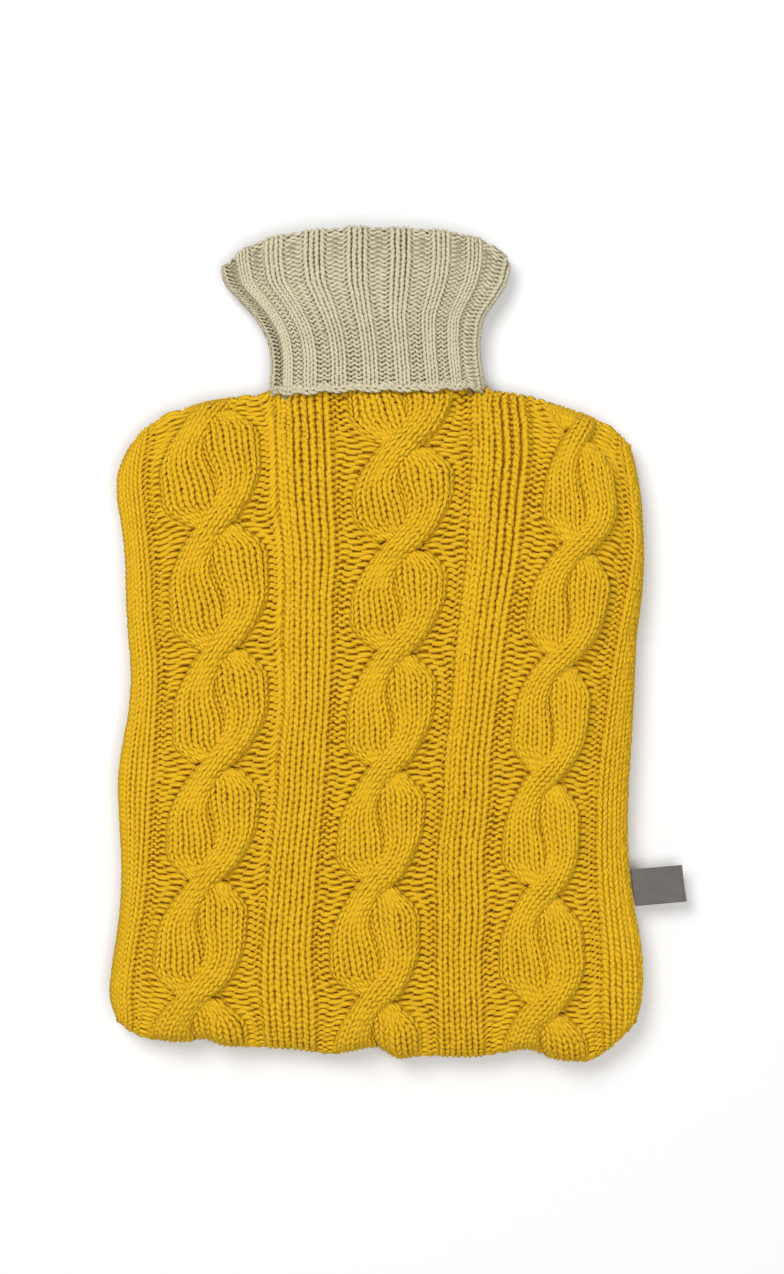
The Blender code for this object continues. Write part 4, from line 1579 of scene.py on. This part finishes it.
        band, rib = (K,) * self.band_wales, (K,) * self.rib_wales
        flat(lambda row: self.band_marks(row, -1.0), (*band, P, P), 0)
        for number in (0, 1):
            first = self.first_rib + self.repeat * number
            flat(lambda row: self.rib_marks(row, number), (P, P, *rib, P, P), first)
        last = self.first_rib + 2 * self.repeat
        flat(lambda row: self.band_marks(row, 1.0)[::-1], (P, P, *band), last)
        wales = self.strand_wales
        for cable in range(len(CROSSINGS)):
            for strand in (0, 1):
                laid = [self.strand_points(row, cable, strand) for row in levels]
                points = np.stack([item[0] for item in laid])
                hidden = np.array([item[1] < 0 and item[2] < self.hidden_reach for item in laid])
                first = self.first_cable + self.repeat * cable + wales * strand
                patch = Patch.from_points(
                    points, 1.0, stitches=(K,) * wales, first_wale=first, **facts
                )
                made.append((patch, rows[~hidden[samples * rows + samples // 2]]))
        return made

    def base_points(self) -> tuple[Array, Array]:
        """The outer and inner faces of the base cloth, under the yarn.

        Returns:
            The points of its outer and inner face, rows by columns.
        """
        levels = self.net.levels_at(self.base_rows)
        share = np.linspace(0, 1, self.base_columns + 1)
        crowding = self.base_crowding * np.sin(2 * np.pi * share) / (2 * np.pi)
        lines = RIGHT_SEAM * (share - crowding)
        outer, inner = [], []
        for row in levels:
            points, normals = self.net.read(row, lines)
            gutters, _ = self.net.read(row, np.arange(FIRST_GUTTER, LAST_GUTTER + 1))
            relief = self.relief.ground(points[:, 0], gutters[:, 0])
            for cable in range(len(CROSSINGS)):
                _, _, middle, half, _ = self.cable_frame(row, cable)
                across = (points[:, 0] - middle) / half
                relief += self.relief.cable(across, points[:, 1], cable, self.base_slim)
            relief += self.relief.creases(points[:, :2])
            relief = relief * self.relief.fade(points) - self.yarn.half_thickness - self.base_sink
            outer.append(points[:, :3] + normals * relief[:, None])
            inner.append(outer[-1] - normals * self.base_thickness)
        return np.array(outer), np.array(inner)

    def build(self, yarn_finish: Material, base_finish: Material) -> list[Object]:
        """Build the base cloth and the yarn of the front.

        Args:
            yarn_finish: the finish of the stitches.
            base_finish: the finish of the cloth under them.

        Returns:
            The base cloth and the pieces of yarn.
        """
        cloth = base_cloth("front_cloth", *self.base_points())
        dress(cloth, base_finish, "root")
        pieces = knit_bands(
            "front_stitches", self.yarn, self.patches(), self.rows, self.bands, self.seed,
            yarn_finish, "mustard_knit",
        )
        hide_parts("front_panel")
        return [cloth, *pieces]


# ---- the back ----

@dataclass
class BackPanel:
    """The plain back, in stocking stitch."""

    shape: BodyShape
    yarn: Yarn
    rows: int = 100
    wales: int = 54
    wale_samples: int = 4
    base_sink: float = 0.4
    base_thickness: float = 1.3
    base_rows: int = 44
    base_columns: int = 56
    bands: int = 2
    seed: int = 1000
    net: FaceNet = field(init=False)

    def __post_init__(self) -> None:
        """Lay the net that every stitch is placed on."""
        self.net = FaceNet(self.shape, Face.BACK, self.rows)

    def even_points(self, columns: int, inset: float) -> Array:
        """Points inside the back's outer face, evenly spaced along the cloth in each row.

        Args:
            columns: how many cells there are across.
            inset: how far inside the face they lie.

        Returns:
            The points, rows of the net by columns.
        """
        rows = []
        for row in range(self.rows * self.net.row_samples + 1):
            points, normals = self.net.points[row], self.net.normals[row]
            run = run_length(points[:, :3])
            at = np.linspace(0, run[-1], columns + 1)
            moved = points[:, :3] - normals * inset
            rows.append(read_lines(at, run, moved))
        return np.array(rows)

    def build(self, yarn_finish: Material, base_finish: Material) -> list[Object]:
        """Build the base cloth and the yarn of the back.

        Args:
            yarn_finish: the finish of the stitches.
            base_finish: the finish of the cloth under them.

        Returns:
            The base cloth and the pieces of yarn.
        """
        inset = self.yarn.half_thickness
        levels = self.net.levels_at(self.base_rows)
        under = inset + self.base_sink
        outer = self.even_points(self.base_columns, under)[levels]
        inner = self.even_points(self.base_columns, under + self.base_thickness)[levels]
        cloth = base_cloth("back_cloth", outer, inner)
        dress(cloth, base_finish, "root")
        patch = Patch.from_points(
            self.even_points(self.wales * self.wale_samples, inset),
            -1.0,
            stitches=(K,) * self.wales,
            wale_samples=self.wale_samples,
            row_samples=self.net.row_samples,
        )
        pieces = knit_bands(
            "back_stitches", self.yarn, [(patch, np.arange(self.rows))], self.rows, self.bands,
            self.seed, yarn_finish, "mustard_knit",
        )
        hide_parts("back_panel")
        return [cloth, *pieces]


# ---- the collar ----

@dataclass
class RibCollar:
    """The ribbed tube on the neck, folded over outwards, with its cast-off hem.

    Fields:
        rib: knit wales in a rib, and purl wales in a gutter.
        layer: the thickness of one layer.
        rib_depth, gutter_share: how deep a gutter is, and its share of a repeat.
        fold_fill, fold_least: how much a gutter fills up over the fold, and how near to the
            fold's own radius it stays.
        row_pitch, fold_allowance: the height of a row, and the length that the fold takes up.
        inner_reach, foot_gap: how far down the inner layer's yarn goes, and how far above the
            neck line the base cloth ends.
        even_height: how far above the neck line the wales are spaced evenly.
        hem_level, hem_round: where in its wave the hem has its own height, and the height
            that a gutter fades out in above it.
        chain_inset: the cast-off chain's depth in its middle, and what it gains at its edges.
        walk_samples, section_samples: points from gutter to gutter, and points of the inner
            layer, the fold and the outer layer.
    """

    shape: BodyShape
    yarn: Yarn
    back_yarn: Yarn
    cast_off_yarn: Yarn
    rib: int = 2
    layer: float = 2.6
    gap_at_fold: float = 1.0
    gap_at_hem: float = 2.5
    rib_depth: float = 1.6
    gutter_share: float = 0.24
    fold_fill: float = 0.7
    fold_least: float = 0.8
    row_pitch: float = 1.95
    fold_allowance: float = 3.0
    inner_reach: float = 9.0
    foot_gap: float = 5.0
    even_height: float = 30.0
    wale_samples: int = 4
    row_samples: int = 2
    hem_wave: float = 1.0
    hem_level: float = 0.6
    hem_round: float = 5.0
    chain_half_width: float = 1.5
    chain_inset: tuple[float, float] = (0.8, 0.6)
    walk_samples: int = 65
    section_samples: tuple[int, int, int] = (17, 11, 41)
    fold_turn: tuple[float, float] = (165.0, 15.0)
    base_sink: float = 0.75
    base_thickness: float = 0.9
    base_cells: int = 8
    base_levels: int = 40
    seed: int = 2000
    cast_off_seed: int = 2500

    def section(self, height: Array) -> tuple[Array, ...]:
        """Middle, half width, rise of the front, fall of the back and seam height, at heights."""
        left, right, *levels = (smooth_read(height, COLLAR, k) for k in range(1, len(COLLAR[0])))
        return (left + right) / 2, (right - left) / 2, *levels

    def place_points(self, place: Array, side: Array, height: Array, inset: Array) -> Array:
        """Points of the collar, inset from the outer face of its outer layer.

        Args:
            place: share of the half width, from -1 to 1.
            side: 1 on the front, -1 on the back.
            height: how far up the collar.
            inset: distance inwards.

        Returns:
            The points.
        """
        power = self.shape.section_power
        centre, half, front, back, middle = self.section(height)
        depth = np.where(side > 0, front, back)
        level = side * np.sqrt(np.maximum(0.0, 1 - np.abs(place) ** power))
        slant = power * np.sign(place) * np.abs(place) ** (power - 1) / half
        rise = 2 * level / depth
        size = np.sqrt(slant ** 2 + rise ** 2)
        across = centre + half * place - slant / size * inset
        up = middle + depth * level - rise / size * inset
        return np.stack([across, height, up], axis=-1)

    def around(self, count: int) -> tuple[Array, Array, Array]:
        """Places round the tube, evenly spaced from gutter to gutter along the cloth.

        Args:
            count: how many places there are from one gutter to the next.

        Returns:
            The places, the sides, and how far each lies in a gutter. The last one meets the first.
        """
        gutters = 2 * np.array(COLLAR_GUTTERS) - 1
        stops = [(mark, 1.0) for mark in gutters] + [(mark, -1.0) for mark in gutters[::-1]]
        samples = self.walk_samples
        places, sides, phases = [], [], []
        for (start, near), (end, far) in zip(stops, stops[1:] + stops[:1]):
            if near == far:
                walk = np.linspace(start, end, samples)
                walk_side = np.full(samples, near)
            else:
                edge = math.copysign(1.0, start)
                out = edge - (edge - start) * np.linspace(1, 0, samples) ** 2
                walk = np.concatenate([out, out[-2::-1]])
                walk_side = np.concatenate([np.full(samples, near), np.full(samples - 1, far)])
            height = np.full(len(walk), self.shape.neck_line + self.even_height)
            run = run_length(self.place_points(walk, walk_side, height, np.zeros(len(walk))))
            at = np.linspace(0, run[-1], count + 1)[:-1]
            places.append(np.interp(at, run, walk))
            sides.append(np.where(np.interp(at, run, walk_side) > 0, 1.0, -1.0))
            phases.append(np.arange(count) / count)
        place, side, phase = (np.concatenate(item) for item in (places, sides, phases))
        offset = np.minimum(phase, 1 - phase) / self.gutter_share
        sunk = np.exp(-offset ** 4)
        return tuple(np.concatenate([item, item[:1]]) for item in (place, side, sunk))

    def hem_height(self, place: float, sunk: float) -> float:
        """How high the hem is: a little lower at the end of each rib than at each gutter."""
        hem = float(np.interp(place, column(COLLAR_ENDS, 0), column(COLLAR_ENDS, 2)))
        return hem + self.hem_wave * (sunk - self.hem_level)

    def profile(
        self, place: float, sunk: float, inset: float, inner_reach: float
    ) -> tuple[Array, Array]:
        """The folded section along one line, from inside the neck over the fold to the hem.

        Args:
            place: share of the half width.
            sunk: how far the line lies in a gutter.
            inset: distance inside the outer face.
            inner_reach: how far down inside the neck the section starts.

        Returns:
            Heights and insets along the section.
        """
        top = float(np.interp(place, column(COLLAR_ENDS, 0), column(COLLAR_ENDS, 1)))
        hem = self.hem_height(place, sunk)
        radius = self.layer + self.gap_at_fold / 2
        turn = top - radius
        depth = self.rib_depth * sunk
        inner_count, fold_count, outer_count = self.section_samples
        down = np.linspace(1, 0, inner_count)
        inner = turn - down * inner_reach
        spread = np.clip((turn - inner) / (turn - self.shape.neck_line), 0, 1)
        gap = self.gap_at_fold + (self.gap_at_hem - self.gap_at_fold) * spread
        heights, insets = [inner], [2 * self.layer + gap - inset - depth]
        angles = np.radians(np.linspace(*self.fold_turn, fold_count))
        least = max(LEAST_RADIUS, self.fold_least * (self.layer - inset))
        reach = np.maximum(radius - inset - depth * (1 - self.fold_fill * np.sin(angles)), least)
        heights.append(turn + reach * np.sin(angles))
        insets.append(radius - reach * np.cos(angles))
        outer = turn + np.linspace(0, 1, outer_count) * (hem - turn)
        heights.append(outer)
        insets.append(inset + depth * smooth_step(outer - hem, 0.0, self.hem_round))
        return np.concatenate(heights), np.concatenate(insets)

    def net(self, count: int, inset: float, inner_reach: float, levels: int) -> Array:
        """Lay the whole folded tube as a net.

        Args:
            count: places from one gutter to the next.
            inset: distance inside the outer face.
            inner_reach: how far down inside the neck it starts.
            levels: cells from there to the hem.

        Returns:
            The points, levels by places round the tube.
        """
        columns = []
        for place, side, sunk in zip(*self.around(count)):
            heights, insets = self.profile(place, sunk, inset, inner_reach)
            flags = np.full(len(heights), side)
            points = self.place_points(np.full(len(heights), place), flags, heights, insets)
            run = run_length(points)
            columns.append(read_lines(np.linspace(0, run[-1], levels + 1), run, points))
        return np.stack(columns, axis=1)

    def cast_off(self) -> Patch:
        """The chain that ends the knitting, one link for each wale, round the hem.

        Returns:
            The patch, whose rows are the links.
        """
        columns = []
        middle, spread = self.chain_inset
        for place, side, sunk in zip(*self.around(2 * self.rib * self.row_samples)):
            climb = np.linspace(1, -1, self.wale_samples + 1)
            heights = self.hem_height(place, sunk) + climb * self.chain_half_width
            inset = self.cast_off_yarn.half_thickness * (middle + spread * climb ** 2)
            flags = np.full(len(heights), place), np.full(len(heights), side)
            columns.append(self.place_points(*flags, heights, inset))
        facts = {"wale_samples": self.wale_samples, "row_samples": self.row_samples}
        return Patch.from_points(np.array(columns), 1.0, stitches=(K,), **facts)

    def build(self, yarn_finish: Material, base_finish: Material) -> list[Object]:
        """Build the base cloth and the yarn of the collar.

        Args:
            yarn_finish: the finish of the stitches.
            base_finish: the finish of the cloth under them.

        Returns:
            The base cloth and the pieces of yarn.
        """
        inset = self.yarn.half_thickness
        under = inset + self.base_sink
        _, crest, hem = max(COLLAR_ENDS, key=lambda row: row[1])
        reach = crest - self.shape.neck_line - self.foot_gap
        outer = self.net(self.base_cells, under, reach, self.base_levels)
        inner = self.net(self.base_cells, under + self.base_thickness, reach, self.base_levels)
        cloth = base_cloth("collar_cloth", outer, inner, closed=True)
        dress(cloth, base_finish, "root")
        rows = round((crest - hem + self.inner_reach + self.fold_allowance) / self.row_pitch)
        columns = 2 * self.rib * self.wale_samples
        points = self.net(columns, inset, self.inner_reach, rows * self.row_samples)
        shift = self.rib * self.wale_samples // 2
        points = np.concatenate([points[:, shift:-1], points[:, :shift + 1]], axis=1)
        facts = {"wale_samples": self.wale_samples, "row_samples": self.row_samples}
        stitches = ((K,) * self.rib + (P,) * self.rib) * len(COLLAR_GUTTERS)
        pieces = []
        for name, first, yarn in (
            ("collar_front_stitches", 0, self.yarn),
            ("collar_back_stitches", len(stitches), self.back_yarn),
        ):
            start = first * self.wale_samples
            part = points[:, start:start + len(stitches) * self.wale_samples + 1]
            patch = Patch.from_points(part, -1.0, stitches=stitches, first_wale=first, **facts)
            knitter = Knitter(yarn, seed=self.seed + first)
            knitter.knit(patch, np.arange(rows))
            pieces.append(knitter.finish(name, yarn_finish, "root", "cream_rib"))
        knitter = Knitter(self.cast_off_yarn, seed=self.cast_off_seed)
        knitter.knit(self.cast_off(), np.arange(2 * len(stitches)))
        pieces.append(knitter.finish("collar_cast_off", yarn_finish, "root", "cream_rib"))
        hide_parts("neck_collar")
        return [cloth, *pieces]


# ---- the label ----

@dataclass
class SideLabel:
    """The blank tape label, folded in two, with its ends caught in the right seam.

    Fields:
        low, high: the heights of its two edges on the body.
        reach: how far it stands out of the seam.
        tilt: how far it slants upwards, in radians.
        root: how far outside the body's edge it starts.
        droop, curl: how far its end sinks, and how far its corners turn up.
    """

    shape: BodyShape
    low: float = -109.6
    high: float = -94.4
    reach: float = 21.8
    tilt: float = 0.085
    root: float = 0.4
    thickness: float = 0.75
    gap: float = 0.5
    droop: float = 1.6
    curl: float = 0.5
    length_cells: int = 48
    width_cells: int = 20
    straight_samples: int = 20
    turn_samples: int = 10

    def lay(self, path: Array) -> Array:
        """One face of the tape, from its section out of the seam and back.

        Args:
            path: its section, outwards and upwards from the seam.

        Returns:
            The points, rows by columns.
        """
        rows = []
        for share in np.linspace(0, 1, self.width_cells + 1):
            height = self.low + share * (self.high - self.low)
            root = float(smooth_read(height, SIDES, 2)) + self.root
            across = root + path[:, 0] * math.cos(self.tilt)
            up = self.shape.seam_height + path[:, 1] - self.droop * (path[:, 0] / self.reach) ** 2
            curl = self.curl * (2 * share - 1) ** 4 * (path[:, 0] / self.reach)
            along = height + path[:, 0] * math.sin(self.tilt)
            rows.append(np.column_stack([across, along, up + curl]))
        return np.array(rows)

    def build(self, finish: Material) -> list[Object]:
        """Build the folded tape from a level grid.

        Args:
            finish: the tape's finish.

        Returns:
            The tape, with the map Tape.
        """
        radius = (self.thickness + self.gap) / 2
        turn = self.reach - radius - self.thickness / 2
        straight = np.linspace(0, turn, self.straight_samples)
        over = np.full(self.straight_samples, radius)
        angles = np.linspace(0, math.pi, self.turn_samples)[1:-1]
        out = np.concatenate([straight, turn + radius * np.sin(angles), straight[::-1]])
        level = np.concatenate([over, radius * np.cos(angles), -over])
        path = np.column_stack([out, level])
        run = run_length(path)
        at = np.linspace(0, run[-1], self.length_cells + 1)
        path = read_lines(at, run, path)
        slopes = unit(np.gradient(path, axis=0))
        half = np.column_stack([-slopes[:, 1], slopes[:, 0]]) * (self.thickness / 2)
        piece = base_cloth("label_tape", self.lay(path + half), self.lay(path - half))
        layer = piece.data.uv_layers.new(name="Tape")
        corners = np.empty(len(piece.data.loops), int)
        piece.data.loops.foreach_get("vertex_index", corners)
        places = np.empty(len(piece.data.vertices) * 3)
        piece.data.vertices.foreach_get("co", places)
        flat = places.reshape(-1, 3)[corners][:, :2]
        layer.data.foreach_set("uv", flat.astype(np.float32).reshape(-1))
        dress(piece, finish, "root")
        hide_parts("side_label")
        return [piece]


# ---- the studio ----

@dataclass(frozen=True)
class Lamp:
    """A round soft lamp that shines at the middle of the cover.

    Fields:
        place, size: where it stands and how wide it is, in metres.
        power: its power, in watts.
    """

    name: str
    place: tuple[float, float, float]
    size: float
    power: float

    def build(self) -> None:
        """Set the lamp up."""
        light = bpy.data.lights.new(self.name, "AREA")
        light.shape = "DISK"
        light.size = self.size
        light.energy = self.power
        lamp = add_object(self.name, light)
        lamp.location = self.place
        lamp.rotation_euler = self.turn()

    def turn(self) -> tuple[float, float, float]:
        """The rotation that aims it at the middle."""
        x, y, z = (-part for part in self.place)
        return (math.atan2(math.hypot(x, y), -z), 0.0, math.atan2(-x, y))


@dataclass
class Studio:
    """A pale floor, soft light and a camera straight above the cover.

    Fields:
        pixel: the height of one row of the image, at the level of the cover.
        view_level: the level above the surface where a pixel has that height.
        floor_size, floor_drop: the floor's size, and how far it lies below the cover, in metres.
    """

    pixel: float = 0.4187
    image_height: int = 1274
    middle_x: float = -2.51
    middle_y: float = 3.14
    view_level: float = 14.0
    lens: float = 85.0
    sensor: float = 36.0
    floor_size: float = 6.0
    floor_drop: float = 0.0002
    floor_colour: Colour = (0.84, 0.84, 0.84)
    floor_roughness: float = 0.9
    sky_strength: float = 0.27
    lamps: tuple[Lamp, ...] = (
        Lamp("key", (-0.55, 0.65, 1.6), 0.9, 20.0),
        Lamp("front", (0.25, -0.3, 1.9), 1.1, 19.2),
    )

    def build(self) -> None:
        """Build the floor, the lights and the camera."""
        bpy.context.scene.view_settings.view_transform = "Standard"
        self.build_floor()
        self.build_lights()
        self.build_camera()

    def build_floor(self) -> None:
        """A plain matt floor."""
        bm = bmesh.new()
        bmesh.ops.create_grid(bm, x_segments=1, y_segments=1, size=self.floor_size / 2)
        bmesh.ops.translate(bm, verts=bm.verts, vec=(0, 0, -self.floor_drop))
        mesh = bpy.data.meshes.new("floor")
        bm.to_mesh(mesh)
        bm.free()
        floor = add_object("floor", mesh)
        material, nodes, shader = start_material("matt_floor")
        finish = {"Base Color": (*self.floor_colour, 1), "Roughness": self.floor_roughness}
        nodes.feed(shader.inputs, finish)
        mesh.materials.append(material)

    def build_lights(self) -> None:
        """An even white sky and two broad lamps, one above the top left and one opposite."""
        world = bpy.data.worlds.new("studio")
        bpy.context.scene.world = world
        world.use_nodes = True
        sky = world.node_tree.nodes["Background"]
        sky.inputs["Color"].default_value = (1, 1, 1, 1)
        sky.inputs["Strength"].default_value = self.sky_strength
        for lamp in self.lamps:
            lamp.build()

    def build_camera(self) -> None:
        """The camera, whose frame is as high as the photograph at the level of the cover."""
        camera = bpy.data.cameras.new("above")
        camera.sensor_fit = "VERTICAL"
        camera.sensor_height = self.sensor
        camera.lens = self.lens
        view = add_object("above", camera)
        rise = self.lens / self.sensor * self.image_height * self.pixel
        view.location = (self.middle_x * MM, self.middle_y * MM, (rise + self.view_level) * MM)
        bpy.context.scene.camera = view


# ---- the whole cover ----

# where a loop has its points, in half turns from sinker to sinker
KNIT_STEPS = (0.0, 0.28, 0.43, 0.57, 0.72, 1.0, 1.28, 1.43, 1.57, 1.72)
PURL_STEPS = (0.0, 0.14, 0.3, 0.7, 0.86, 1.0, 1.14, 1.3, 1.7, 1.86)
PLAIN_STEPS = (0.0, 0.36, 0.64, 1.0, 1.36, 1.64)
CHAIN_STEPS = (0.0, 0.25, 0.5, 0.75, 1.0, 1.25, 1.5, 1.75)

BODY_YARN = Yarn(
    radius=1.02, flatness=0.95, depth=0.92, reach=(0.87, 0.72), bow=(1.28, 1.42), pitch=4.6,
    knit_steps=KNIT_STEPS, purl_steps=PURL_STEPS, lean=0.36,
)
BACK_YARN = Yarn(
    radius=1.08, flatness=0.85, depth=0.8, reach=(0.9, 0.76), bow=(1.3, 1.4), pitch=4.7,
    knit_steps=PLAIN_STEPS, purl_steps=PLAIN_STEPS, sides=3,
)
RIB_YARN = Yarn(
    radius=0.72, flatness=0.95, depth=0.6, reach=(0.85, 0.74), bow=(1.25, 1.42), pitch=3.2,
    knit_steps=KNIT_STEPS, purl_steps=PURL_STEPS, lean=0.27,
)
PLAIN_RIB_YARN = Yarn(
    radius=0.78, flatness=0.9, depth=0.55, reach=(0.9, 0.76), bow=(1.3, 1.4), pitch=3.2,
    knit_steps=PLAIN_STEPS, purl_steps=PLAIN_STEPS, sides=3,
)
CHAIN_YARN = Yarn(
    radius=0.72, flatness=0.95, depth=0.4, reach=(0.82, 0.76), bow=(1.9, 1.9), pitch=3.0,
    knit_steps=CHAIN_STEPS, purl_steps=CHAIN_STEPS, lean=0.3,
)

# deep is each yarn's painted shade, which it darkens to where it is sunk between the loops
MUSTARD = YarnFinish(
    "mustard_yarn", bright=(0.72, 0.445, 0.015), deep=(0.4, 0.17, 0.001),
    plies=2.0, turns=1.6, bump=0.0003,
)
CREAM = YarnFinish(
    "cream_yarn", bright=(0.63, 0.575, 0.41), deep=(0.2, 0.165, 0.095),
    plies=2.0, turns=2.6, bump=0.00018,
)
# the base cloths are darker than their yarns: the knitting's inner side, with painted shade for the
# gaps between the loops
MUSTARD_BASE = BaseFinish(
    "mustard_base", colour=(0.66, 0.3, 0.002), shade=(0.5, 0.21, 0.001), wale=4.7, row=2.65
)
CREAM_BASE = BaseFinish(
    "cream_base", colour=(0.38, 0.33, 0.22), shade=(0.28, 0.235, 0.15), wale=3.6, row=1.95
)


def main() -> None:
    """Build each part of the cover in order, then the studio."""
    logging.basicConfig(level=logging.INFO, format="%(name)s %(message)s")
    groups = Groups.build()
    mustard, cream = MUSTARD.build(groups), CREAM.build(groups)
    mustard_base, cream_base = MUSTARD_BASE.build(groups), CREAM_BASE.build(groups)

    shape = BodyShape()
    report(FrontPanel(shape, CableRelief(), BODY_YARN).build(mustard, mustard_base))
    report(BackPanel(shape, BACK_YARN).build(mustard, mustard_base))
    report(RibCollar(shape, RIB_YARN, PLAIN_RIB_YARN, CHAIN_YARN).build(cream, cream_base))
    report(SideLabel(shape).build(TapeFinish().build()))
    Studio().build()


if __name__ == "__main__":
    main()
